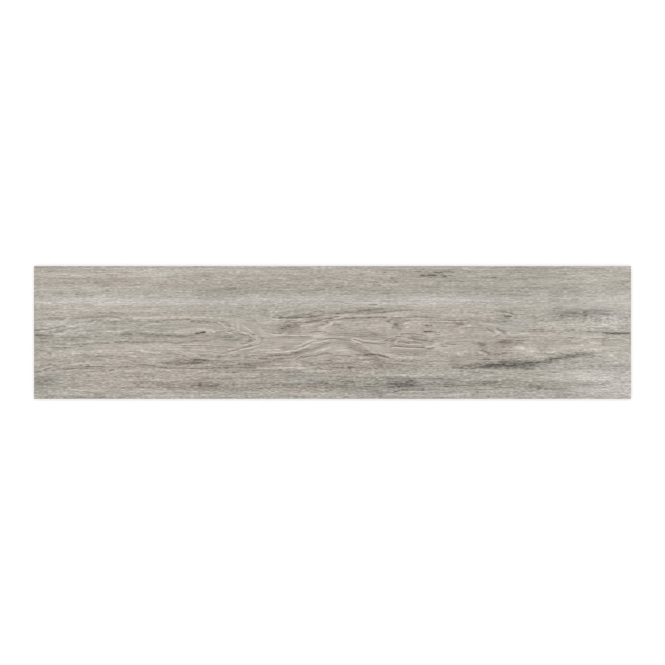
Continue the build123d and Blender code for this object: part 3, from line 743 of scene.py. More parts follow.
PALE_LINES = (
    # Tongue on the left
    (1.0, 0.8, (-421, -4.4), (-412, -2.5), (-405, -0.5), (-398, 1.2), (-390, 2.5), (-383, 4),
     (-375, 6.2)),
    (1.1, 1.0, (-441, 1.8), (-432, 2.6), (-425, 3.2), (-417, 4.8)),
    (1.8, 0.8, (-430, 12.5), (-415, 13), (-403, 14)),
    (1.0, 0.6, (-404, 11.4), (-396, 9.4), (-388, 9.4)),
    (1.1, 0.9, (-382, 12.3), (-372, 13.5), (-364, 14.2), (-356, 16.6)),
    (1.0, 1.0, (-351, 16.4), (-341, 17.6)),
    (2.0, 0.6, (-347, 1), (-335, 1.8)),
    (1.0, 1.0, (-369, -13.8), (-356, -13.8)),
    (1.0, 1.7, (-431, -24), (-423, -24.5)),
    (1.0, 0.5, (-334, 19), (-325, 20.5), (-317, 21)),
    (1.0, 1.0, (-332, 1.4), (-318, 2.5), (-308, 3.5), (-304, 2.7)),
    (1.0, 0.9, (-283, 11.7), (-276, 12.1), (-268, 13.4), (-259, 13)),
    (1.0, 0.8, (-291, 8.6), (-284, 8)),
    (0.9, 0.7, (-305, 1), (-280, 1.3), (-260, 0.4), (-222, 0)),
    (1.0, 1.0, (-321, -10.5), (-307, -10.8)),
    (1.7, 0.8, (-300, 21.8), (-260, 22), (-225, 22.4), (-200, 23.5), (-185, 23.8), (-168, 22.6)),
    (0.9, 0.8, (-181, 16.9), (-172, 15.8), (-166.5, 13), (-162.5, 9.4)),
    (1.0, 1.0, (-164.6, 12.4), (-161.6, 8.4), (-158.6, 4.8)),
    (1.7, 1.0, (-144, 16), (-142, 10.5), (-143, 4.5)),
    (1.2, 1.0, (-151.5, 13), (-149.5, 8), (-148.5, 4)),
    (0.9, 0.9, (-161, -4.2), (-153.5, -0.3)),
    (1.0, 0.9, (-181, 1.2), (-176, 0.3)),
    (0.8, 1.0, (-228, -18), (-209, -18)),
    (0.8, 0.8, (-228, -21), (-211, -21)),
    # Tip of the tongue
    (1.1, 1.0, (-136, 8.6), (-130, 6.5), (-125, 4), (-121, 1), (-118, -1.5)),
    (1.1, 1.0, (-138, 0), (-131, -0.5), (-126, -3), (-122, -5.5), (-118.5, -8), (-115.5, -9)),
    (1.2, 0.9, (-117, -5), (-113.6, -7.6), (-112.6, -10), (-116, -13), (-123, -16.2), (-132, -19),
     (-140, -21.3), (-148, -23.4), (-155, -25.5), (-162, -27.8), (-175, -28), (-190, -27),
     (-212, -26.4)),
    (1.0, 0.8, (-164, -33.2), (-156, -31), (-148, -28.8), (-138, -26.2), (-126, -23.5),
     (-112, -20), (-102, -15.5)),
    (1.4, 0.9, (-124, -28.8), (-116, -28.5)),
    # Left sill
    (1.4, 1.0, (-289, -26.8), (-284, -28.5), (-270, -30.3), (-261, -30.6)),
    (1.0, 0.8, (-309, -30.3), (-297, -30.3)),
    (1.0, 1.0, (-306, -35.7), (-294, -36.7)),
    (1.2, 0.7, (-448, -57.4), (-440, -55.6), (-433, -53.5), (-426, -50.5), (-419, -47.6),
     (-413, -44.6)),
    (1.0, 1.0, (-371, -45.2), (-364, -48), (-355, -50.8)),
    (1.4, 0.9, (-392, -40.5), (-391, -48.5)),
    (1.0, 0.9, (-346, -39.3), (-339, -41.2)),
    (1.4, 0.8, (-352, -28.4), (-348, -28.6)),
    (1.0, 0.7, (-393, -31), (-382, -30.5)),
    (1.2, 0.8, (-242, -28), (-235, -30)),
    (1.1, 0.5, (-225, -32.6), (-215, -34.8), (-204, -37.8)),
    (1.0, 0.8, (-210, -33.4), (-200, -36.8), (-190, -39), (-178, -40.4)),
    (1.2, 1.3, (-191, -48.5), (-184, -48.5)),
    (1.2, 1.0, (-149, -46.5), (-142, -46.5)),
    (1.1, 0.9, (-206, -55.8), (-199, -56.3)),
    (1.1, 0.9, (-196, -57.4), (-189, -58.6)),
    (1.0, 0.8, (-263, -48.6), (-257, -48)),
    # Saddle and brow
    (1.6, 0.6, (-115, 18), (-108, 14), (-98, 14), (-94, 18), (-92, 26), (-92, 33)),
    (1.0, 1.1, (-91, 19.6), (-78, 19.6), (-65, 19.8), (-43, 19.6)),
    (1.3, 1.0, (-48, 9.8), (-40, 11), (-33, 12), (-27, 13.5), (-22, 14.6), (-18, 15.8), (-14, 18),
     (-11, 19.5), (-7, 20)),
    (1.4, 1.0, (-19, 9.4), (-12, 9.2), (-8, 11), (-3, 12), (1, 14.2)),
    (1.1, 1.0, (-6, 16), (5, 16.2), (16, 17.2)),
    (1.1, 0.9, (1, 20.4), (8, 21.4), (15, 22.4)),
    (1.3, 0.4, (8, 25.5), (30, 25.6), (60, 26), (80, 27.2), (100, 29.8), (132, 31)),
    (1.2, 1.2, (-95, 0.5), (-91, -2.6), (-80, -3.6), (-66, -4.2), (-52, -4.5), (-40, -3.8),
     (-31, -3.2)),
    (1.0, 1.2, (-13, -7), (5, -6.7), (16, -6)),
    (0.9, 0.4, (-16, -13), (-7, -11.6)),
    (1.0, 0.8, (-1, -10.3), (6, -10.3)),
    (1.1, 1.1, (-25, 28.5), (-17, 28.5)),
    # Arch
    (1.1, 1.1, (-120, -26.6), (-110, -26.3), (-100, -25.8), (-88, -25.4), (-78, -25.4)),
    (1.2, 1.2, (-101, -30.3), (-88, -30.6), (-80, -30.2), (-72, -29.5), (-62, -28), (-55, -27),
     (-48, -24.6), (-42, -22.5), (-37, -20), (-32, -17.5), (-27, -16), (-20, -15), (-12, -13),
     (-6, -11.4)),
    (1.3, 1.1, (-58, -22.2), (-50, -19.5), (-45, -17.5), (-40, -15.8), (-36, -13.5), (-29, -10.4)),
    (1.1, 1.0, (-55, -38), (-47, -34.6), (-40, -32.8), (-32, -31.8), (-27, -30.2)),
    (1.8, 1.1, (-28, -29.8), (-20, -27), (-12, -25), (-4, -22.4)),
    (1.1, 1.2, (28, -8.5), (36, -9), (40, -10.5), (46, -12), (54, -12.5), (62, -13.2),
     (70, -12.8), (77, -11.5), (82, -9.5), (87, -7.5), (93, -5.5), (101, -4.2)),
    (1.2, 1.3, (28, -10.8), (34, -13), (39, -15), (44, -16)),
    (1.4, 0.8, (45, -18), (50, -20.5), (55, -24.5)),
    (1.5, 1.3, (82, -34.7), (87, -34.6)),
    (1.5, 0.6, (40, -37.5), (58, -37.5)),
    (0.9, 0.9, (41, -43.8), (55, -43.8)),
    (1.2, 1.2, (-114, -54.3), (-100, -54.6), (-85, -54.2), (-75, -53.5), (-60, -52.5)),
    (1.2, 0.8, (-58, -40.4), (-56.5, -44)),
    (1.0, 0.7, (-44, -58.5), (-30, -57.5), (-9, -57.4)),
    (1.0, 0.8, (-119, -45), (-107, -45)),
    (1.0, 0.8, (-126, -33), (-116, -33)),
    (1.0, 0.4, (-85, -47), (-79, -46.8)),
    # Right heart and the eye
    (1.0, 0.4, (104, 18.8), (112, 20.5), (120, 21.4), (138, 21), (157, 20.8)),
    (1.1, 1.0, (106, 12.6), (113, 15), (118, 16.3), (125, 16.6), (150, 16.8), (170, 16.4),
     (199, 16.4)),
    (1.5, 0.8, (111, 8), (115, 7.8)),
    (1.0, 0.6, (90, 24), (100, 25.4), (113, 25.7)),
    (0.9, 0.5, (157, -1.5), (164, -1.4)),
    (0.9, 0.6, (100, -0.2), (120, 0.3), (135, -2), (151, -3.6)),
    (1.0, 0.4, (83, -12.6), (88, -9.8), (94, -7.9), (106, -8.6), (114, -9.1)),
    (1.0, 0.9, (115, -11.8), (122, -12), (129, -13.2)),
    (1.6, 1.8, (95.5, -12.6), (95.5, -15.6)),
    (1.0, 0.8, (99, -15.8), (107, -17.1), (113, -18), (122, -18), (135, -17.4)),
    (1.0, 1.1, (89, -22.8), (100, -22.8), (112, -23.8), (125, -24.1), (137, -24.3)),
    (1.3, 1.3, (141.5, -20.8), (146, -21.8), (150, -20), (154, -19.4)),
    (1.5, 1.1, (154.5, -17.3), (158.5, -17.3)),
    (0.9, 0.5, (174, -19.6), (184, -19.5)),
    (1.4, 0.6, (87, -36.8), (95, -38), (115, -37.5), (120, -38.3), (140, -37.5), (160, -37.8),
     (171, -37.5)),
    (1.1, 0.8, (161, -28.8), (175, -30.2)),
    (1.0, 0.8, (184, 5.8), (198, 9), (212, 12)),
    (1.4, 0.6, (170, 28), (170.5, 19)),
    # Right tip, fan and small eye
    (1.6, 1.0, (245.8, -2.2), (248.4, -2.8)),
    (1.2, 1.4, (244.5, 4), (249.5, 1.2), (253.5, -1.8), (256.5, -3.8)),
    (1.4, 1.2, (262.5, -1), (267.5, -0.7)),
    (1.0, 1.0, (266, -2.4), (275, -3.3), (285, -2), (298, -1.5)),
    (1.0, 0.9, (236, 0.5), (241, -2.5), (245, -6)),
    (1.0, 1.0, (258, 28.4), (266, 26.8), (271, 25), (272.5, 22.6)),
    (0.9, 0.5, (262, 33), (272, 30.4), (280, 27.4)),
    (1.0, 1.0, (311, 13.8), (319, 13.5)),
    (0.9, 0.5, (297, 6.3), (309, 6.1)),
    (2.0, 1.1, (275, -23), (281, -22.5), (287, -23.5)),
    (1.3, 0.9, (299, -28), (305, -28)),
    (1.0, 1.8, (306, -36.3), (319, -36.2)),
    (1.1, 1.0, (320, -28.4), (326, -30), (336, -29)),
    (1.1, 0.9, (221, -29.6), (226, -32), (233, -34.8)),
    (1.5, 0.8, (407, 12), (413, 12)),
    (1.1, 0.7, (416, 16.7), (428, 16.8), (435, 13.8), (441, 11.8)),
    (1.0, 1.0, (419, 10.2), (426, 7.6), (428.5, 4.4)),
    (2.2, 1.0, (389, -14.8), (401, -17)),
    (1.5, 1.3, (374, -18), (378, -18)),
    (1.0, 1.0, (376, -7.9), (390, -7.5), (409, -6.4)),
    (1.1, 0.8, (418, -9.3), (435, -8.5), (442, -10.5), (446.8, -13.4), (445.6, -16), (440, -19),
     (430, -21), (417, -21.6)),
    (1.0, 1.0, (379, -26), (395, -25.5), (416, -25.5)),
    (1.8, 1.4, (419, -34.8), (423, -35.2)),
    (1.3, 1.0, (426.5, -46), (430, -46)),
)


class NodeDesk:
    """Writes nodes into one tree, so that a formula takes one line for each step."""

    def __init__(self, tree):
        self.tree = tree

    def node(self, kind, **settings):
        """A new node with its settings."""
        made = self.tree.nodes.new(kind)
        for name, value in settings.items():
            setattr(made, name, value)
        return made

    def feed(self, socket, value):
        """Links another node's output to a socket, or sets a plain value on it."""
        if isinstance(value, bpy.types.NodeSocket):
            self.tree.links.new(value, socket)
        else:
            socket.default_value = value

    def filled(self, kind, values, **settings):
        """The first output of a new node whose inputs are fed in their order."""
        made = self.node(kind, **settings)
        for socket, value in zip(made.inputs, values):
            self.feed(socket, value)
        return made.outputs[0]

    def math(self, operation, *values):
        """One step of arithmetic."""
        return self.filled("ShaderNodeMath", values, operation=operation)

    def total(self, *values):
        """All the values added up."""
        result = values[0]
        for value in values[1:]:
            result = self.math("ADD", result, value)
        return result

    def times(self, first, second):
        """One value times another."""
        return self.math("MULTIPLY", first, second)

    def minus(self, first, second):
        """One value less another."""
        return self.math("SUBTRACT", first, second)

    def ease(self, value, low, high, low_result=0.0, high_result=1.0):
        """A smooth change from one result to another, while the value goes from low to high."""
        values = (value, low, high, low_result, high_result)
        return self.filled("ShaderNodeMapRange", values, interpolation_type="SMOOTHSTEP")

    def vector(self, x, y, z=0.0):
        """Three values as one vector."""
        return self.filled("ShaderNodeCombineXYZ", (x, y, z))

    def noise(self, along, across, cell_length, cell_width, seed, detail=2.0, roughness=0.5):
        """Noise about 0, in cells of that length along the grain and width across it."""
        place = self.vector(
            self.math("DIVIDE", along, cell_length),
            self.math("DIVIDE", across, cell_width),
            seed,
        )
        made = self.node("ShaderNodeTexNoise")
        self.feed(made.inputs["Vector"], place)
        made.inputs["Scale"].default_value = 1.0
        made.inputs["Detail"].default_value = detail
        made.inputs["Roughness"].default_value = roughness
        return self.minus(made.outputs[0], NOISE_MIDDLE)

    def slivers(self, along, across, cell_length, cell_width, seed):
        """Slivers of about that length and width, each with its own value about 0."""
        place = self.vector(
            self.math("MULTIPLY_ADD", along, 1.0 / cell_length, SEED_STEP * seed),
            self.math("DIVIDE", across, cell_width),
        )
        made = self.node("ShaderNodeTexVoronoi", voronoi_dimensions="2D")
        self.feed(made.inputs["Vector"], place)
        made.inputs["Scale"].default_value = 1.0
        own = self.filled("ShaderNodeSeparateColor", (made.outputs["Color"],))
        return self.minus(own, NOISE_MIDDLE)


def new_group(name, kind, inputs, outputs):
    """The desk of a new node group with float sockets, and the group's inputs and outputs."""
    tree = bpy.data.node_groups.new(name, kind)
    for direction, names in (("INPUT", inputs), ("OUTPUT", outputs)):
        for socket in names:
            tree.interface.new_socket(socket, in_out=direction, socket_type="NodeSocketFloat")
    desk = NodeDesk(tree)
    return desk, desk.node("NodeGroupInput").outputs, desk.node("NodeGroupOutput").inputs


def swell_group():
    """One swell: a smooth rise with a place, a half length, a half width and a lean."""
    names = ("Along", "Across", "X", "Y", "Half Length", "Half Width", "Height", "Lean")
    desk, given, result = new_group("Swell", "GeometryNodeTree", names, ("Height",))
    along = desk.minus(given["Along"], given["X"])
    leaned = desk.math("MULTIPLY_ADD", along, given["Lean"], given["Y"])
    across = desk.minus(given["Across"], leaned)
    far_along = desk.math("POWER", desk.math("DIVIDE", along, given["Half Length"]), 2.0)
    far_across = desk.math("POWER", desk.math("DIVIDE", across, given["Half Width"]), 2.0)
    fall = desk.math("EXPONENT", desk.times(desk.total(far_along, far_across), -1.0))
    desk.feed(result["Height"], desk.times(given["Height"], fall))
    return desk.tree


def sum_of_swells(desk, group, along, across, swells):
    """All the swells of one table, added up."""
    heights = []
    for label, *numbers in swells:
        values = (along, across, *numbers)
        heights.append(desk.filled("GeometryNodeGroup", values, node_tree=group, label=label))
    return desk.total(*heights)


def draw_lines(name, lines, height):
    """A curve object with one smooth spline for each line of a table."""
    start_alone()
    bpy.ops.curve.primitive_bezier_curve_add()
    drawing = bpy.context.object
    drawing.name = name
    drawing.data.splines.clear()
    for half_width, strength, *points in lines:
        spline = drawing.data.splines.new("BEZIER")
        spline.bezier_points.add(len(points) - 1)
        for knot, (along, across) in zip(spline.bezier_points, points):
            knot.co = (along * MM, across * MM, height)
            knot.handle_left_type = "AUTO"
            knot.handle_right_type = "AUTO"
            knot.radius = half_width
            knot.tilt = strength
        for end in (spline.bezier_points[0], spline.bezier_points[-1]):
            end.radius = half_width * LINE_TAPER
    return drawing


def keep(desk, shape, name, value):
    """Keeps a value on each point of the shape, under a name."""
    store = desk.node("GeometryNodeStoreNamedAttribute", data_type="FLOAT", domain="POINT")
    desk.feed(store.inputs["Geometry"], shape)
    desk.feed(store.inputs["Name"], name)
    desk.feed(store.inputs["Value"], value)
    return store.outputs["Geometry"]


def line_cover(desk, drawing, place):
    """How strongly the drawn lines cover a place, and how far off the nearest of them is.

    The cover fades over a line's half width. The curve carries that width as its radius, and the
    line's strength as its tilt.
    """
    drawn = desk.node("GeometryNodeObjectInfo", transform_space="RELATIVE")
    drawn.inputs["Object"].default_value = drawing
    curve = drawn.outputs["Geometry"]
    sources = {"half width": "GeometryNodeInputRadius", "strength": "GeometryNodeInputCurveTilt"}
    for name, source in sources.items():
        curve = keep(desk, curve, name, desk.node(source).outputs[0])
    strand = desk.node("GeometryNodeCurveToMesh")
    desk.feed(strand.inputs["Curve"], curve)
    nearest = desk.node("GeometryNodeProximity", target_element="EDGES")
    index = desk.node("GeometryNodeSampleNearest", domain="POINT")
    for finder in (nearest, index):
        desk.feed(finder.inputs["Geometry"], strand.outputs["Mesh"])
        desk.feed(finder.inputs["Sample Position"], place)
    found = []
    for name in sources:
        value = desk.node("GeometryNodeInputNamedAttribute", data_type="FLOAT")
        value.inputs["Name"].default_value = name
        sample = desk.node("GeometryNodeSampleIndex", data_type="FLOAT", domain="POINT")
        desk.feed(sample.inputs["Geometry"], strand.outputs["Mesh"])
        desk.feed(sample.inputs["Value"], value.outputs["Attribute"])
        desk.feed(sample.inputs["Index"], index.outputs["Index"])
        found.append(sample.outputs["Value"])
    half_width, strength = found
    away = desk.math("DIVIDE", nearest.outputs["Distance"], MM)
    share = desk.math("DIVIDE", away, half_width)
    fall = desk.math("EXPONENT", desk.times(desk.times(share, share), -1.0))
    return desk.times(strength, fall), away


def press_tree(sizes, dark_drawing, pale_drawing):
    """The press: works out the grain over the face, keeps it as attributes and presses it in."""
    tree = bpy.data.node_groups.new("Grain Press", "GeometryNodeTree")
    for direction in ("INPUT", "OUTPUT"):
        tree.interface.new_socket("Geometry", in_out=direction, socket_type="NodeSocketGeometry")
    desk = NodeDesk(tree)
    slab = desk.node("NodeGroupInput").outputs[0]
    place = desk.node("ShaderNodeSeparateXYZ")
    desk.feed(place.inputs[0], desk.node("GeometryNodeInputPosition").outputs[0])
    along = desk.math("DIVIDE", place.outputs["X"], MM)
    across = desk.math("DIVIDE", place.outputs["Y"], MM)

    # Rings, and the way the fibres flow round them
    swell = swell_group()
    from_heart = desk.minus(across, HEART_LINE)
    ridge = desk.math("SQRT", desk.math("MULTIPLY_ADD", from_heart, from_heart, HEART_BLUNT**2))
    bends = sum_of_swells(desk, swell, along, across, RING_SWELLS)
    drift = desk.noise(along, across, *DRIFT_NOISE)
    rings = desk.total(desk.times(ridge, -RINGS_PER_MM), bends, desk.times(drift, RING_DRIFT))
    side = desk.math("TANH", desk.math("DIVIDE", from_heart, FLOW_TURN))
    flow = desk.minus(across, desk.times(desk.times(side, bends), FLOW_SHARE / RINGS_PER_MM))

    # Drawn lines, shaken a little
    waver = desk.noise(along, across, *WAVER_NOISE)
    shaken = desk.total(place.outputs["Y"], desk.times(waver, LINE_SHAKE))
    drawn_at = desk.vector(place.outputs["X"], shaken, sizes.thickness)
    dark, dark_away = line_cover(desk, dark_drawing, drawn_at)
    pale, pale_away = line_cover(desk, pale_drawing, drawn_at)
    kept = {
        "ring": rings,
        "flow": flow,
        "figure": sum_of_swells(desk, swell, along, across, FIGURE_SWELLS),
        "tone": sum_of_swells(desk, swell, along, across, TONE_SWELLS),
        "tint": sum_of_swells(desk, swell, along, across, TINT_SWELLS),
        "smear": sum_of_swells(desk, swell, along, across, SMEAR_SWELLS),
        "dark": dark,
        "dark away": dark_away,
        "pale": pale,
        "pale away": pale_away,
    }
    for name, value in kept.items():
        slab = keep(desk, slab, name, value)

    # Relief, on the face alone and fading out at its rim
    groove = desk.ease(desk.noise(along, across, *GROOVE_NOISE), *GROOVE_RISE)
    pore = desk.ease(desk.noise(along, across, *PORE_NOISE), *PORE_RISE)
    ring_groove = desk.ease(desk.math("FRACT", rings), *RING_RISE)
    depth = desk.total(
        desk.times(groove, GROOVE_SHARE),
        desk.times(pore, PORE_SHARE),
        desk.times(desk.times(ring_groove, kept["figure"]), RING_SHARE),
        desk.times(dark, LINE_SHARE),
    )
    depth = desk.math("MINIMUM", depth, 1.0)
    half_length = 0.5 * sizes.length / MM - sizes.arris / MM
    half_width = 0.5 * sizes.width / MM - sizes.arris / MM
    to_end = desk.minus(half_length, desk.math("ABSOLUTE", along))
    to_side = desk.minus(half_width, desk.math("ABSOLUTE", across))
    inside = desk.ease(desk.math("MINIMUM", to_end, to_side), 0.0, PRESS_RIM)
    on_face = desk.math("GREATER_THAN", place.outputs["Z"], sizes.thickness - NEAR)
    drop = desk.times(desk.times(depth, inside), desk.times(on_face, -sizes.relief))
    move = desk.node("GeometryNodeSetPosition")
    desk.feed(move.inputs["Geometry"], slab)
    desk.feed(move.inputs["Offset"], desk.vector(0.0, 0.0, drop))
    desk.feed(desk.node("NodeGroupOutput").inputs[0], move.outputs["Geometry"])
    return tree


def pick(tile, kind, test):
    """Selects, in edit mode, only those faces or edges of the tile that pass the test."""
    bpy.ops.mesh.select_mode(type=kind)
    bpy.ops.mesh.select_all(action="DESELECT")
    shape = bmesh.from_edit_mesh(tile.data)
    for item in shape.faces if kind == "FACE" else shape.edges:
        if test(item):
            item.select_set(True)
    shape.select_flush_mode()
    bmesh.update_edit_mesh(tile.data)


def start_alone():
    """Leaves nothing selected, so that an operator acts only on what comes next."""
    if bpy.context.object and bpy.context.object.mode != "OBJECT":
        bpy.ops.object.mode_set(mode="OBJECT")
    bpy.ops.object.select_all(action="DESELECT")


def add_slab(sizes):
    """The slab at its size, with its face rim eased. It stays in edit mode."""
    start_alone()
    middle = (0.0, 0.0, 0.5 * sizes.thickness)
    bpy.ops.mesh.primitive_cube_add(size=1.0, calc_uvs=False, location=middle)
    tile = bpy.context.object
    tile.name = "plank"
    tile.data.name = "plank"
    tile.scale = (sizes.length, sizes.width, sizes.thickness)
    bpy.ops.object.transform_apply(location=True, rotation=True, scale=True)
    bpy.ops.object.mode_set(mode="EDIT")
    pick(tile, "EDGE", lambda edge: all(v.co.z > sizes.thickness - NEAR for v in edge.verts))
    bpy.ops.mesh.bevel(offset=sizes.arris, offset_type="OFFSET", segments=1, affect="EDGES")
    return tile


def key_back(tile, sizes):
    """Cuts the back into cells and presses one drafted key into each."""
    pitch = sizes.key_side + sizes.rib
    counts = []
    for side in (sizes.length, sizes.width):
        room = side - 2 * sizes.least_rim + sizes.rib
        counts.append(math.floor(room / pitch + COUNT_SLACK))

    def on_back(face):
        return face.normal.z < BACK_FLAT and face.calc_center_median().z < NEAR

    def in_field(face):
        middle = face.calc_center_median()
        return on_back(face) and all(
            abs(middle[axis]) < count / 2 * pitch for axis, count in enumerate(counts)
        )

    for axis, count in enumerate(counts):
        normal = [0.0, 0.0, 0.0]
        normal[axis] = 1.0
        for line in range(count + 1):
            cut = [0.0, 0.0, 0.0]
            cut[axis] = (line - count / 2) * pitch
            pick(tile, "FACE", on_back)
            bpy.ops.mesh.bisect(plane_co=cut, plane_no=normal)
    pick(tile, "FACE", in_field)
    bpy.ops.mesh.inset(thickness=sizes.rib / 2, depth=0.0, use_individual=True)
    bpy.ops.mesh.bevel(offset=sizes.key_corner, offset_type="OFFSET", segments=1, affect="VERTICES")
    pick(tile, "FACE", lambda face: in_field(face) and len(face.verts) == KEY_SIDES)
    draft = sizes.key_depth * math.tan(sizes.key_draft)
    bpy.ops.mesh.inset(thickness=draft, depth=-sizes.key_depth, use_individual=True)


def cell_face(tile, sizes):
    """Divides the face into cells fine enough for its relief: long along the grain, narrow across."""

    def runs_along(edge, axis):
        first, last = edge.verts
        on_face = min(first.co.z, last.co.z) > sizes.thickness - NEAR
        return on_face and abs(first.co[1 - axis] - last.co[1 - axis]) < NEAR

    for axis, cuts in FACE_CUTS:
        pick(tile, "EDGE", lambda edge: runs_along(edge, axis))
        bpy.ops.mesh.subdivide(number_cuts=cuts)


def press_face(tile, sizes):
    """Presses the grain into the face, and leaves neither modifier nor drawing."""
    dark_drawing = draw_lines("dark lines", DARK_LINES, sizes.thickness)
    pale_drawing = draw_lines("pale lines", PALE_LINES, sizes.thickness)
    start_alone()
    tile.select_set(True)
    bpy.context.view_layer.objects.active = tile
    press = tile.modifiers.new("Grain Press", "NODES")
    press.node_group = press_tree(sizes, dark_drawing, pale_drawing)
    bpy.ops.object.modifier_apply(modifier=press.name)
    for drawing in (dark_drawing, pale_drawing):
        bpy.data.curves.remove(drawing.data)


def colour(*levels):
    """A colour, from its red, green and blue print levels, as the linear values Blender works in."""
    shares = [level / FULL_LEVEL for level in levels]
    return tuple(Color(shares).from_srgb_to_scene_linear())


def new_material(name):
    """An empty material with its desk, its shader and the piece's place in millimetres."""
    material = bpy.data.materials.new(name)
    material.use_nodes = True
    material.node_tree.nodes.clear()
    desk = NodeDesk(material.node_tree)
    shader = desk.node("ShaderNodeBsdfPrincipled")
    desk.feed(desk.node("ShaderNodeOutputMaterial").inputs["Surface"], shader.outputs[0])
    place = desk.node("ShaderNodeSeparateXYZ")
    desk.feed(place.inputs[0], desk.node("ShaderNodeTexCoord").outputs["Object"])
    axes = [desk.math("DIVIDE", axis, MM) for axis in place.outputs]
    return material, desk, shader, axes


def ramp(desk, value, stops):
    """The colour at a value, from stops that each have a position and a colour."""
    made = desk.node("ShaderNodeValToRGB")
    elements = made.color_ramp.elements
    while len(elements) < len(stops):
        elements.new(1.0)
    for element, (position, shade) in zip(elements, stops):
        element.position = position
        element.color = (*shade, 1.0)
    desk.feed(made.inputs[0], value)
    return made.outputs["Color"]


def kept_value(desk, name):
    """A value that the press kept over the face."""
    return desk.node("ShaderNodeAttribute", attribute_name=name).outputs["Fac"]


def echoes(desk, away, waver):
    """Ripples beside the drawn lines: from 1 on a line down and up again, dying out with distance."""
    turn = desk.times(desk.total(desk.math("DIVIDE", away, ECHO_STEP), waver), math.tau)
    fade = desk.math("EXPONENT", desk.math("DIVIDE", away, -ECHO_REACH))
    return desk.times(desk.math("COSINE", turn), fade)


def bump(desk, shader, rough, distance, strength):
    """Gives the shader a fine bump."""
    made = desk.node("ShaderNodeBump")
    made.inputs["Strength"].default_value = strength
    made.inputs["Distance"].default_value = distance
    desk.feed(made.inputs["Height"], rough)
    desk.feed(shader.inputs["Normal"], made.outputs["Normal"])


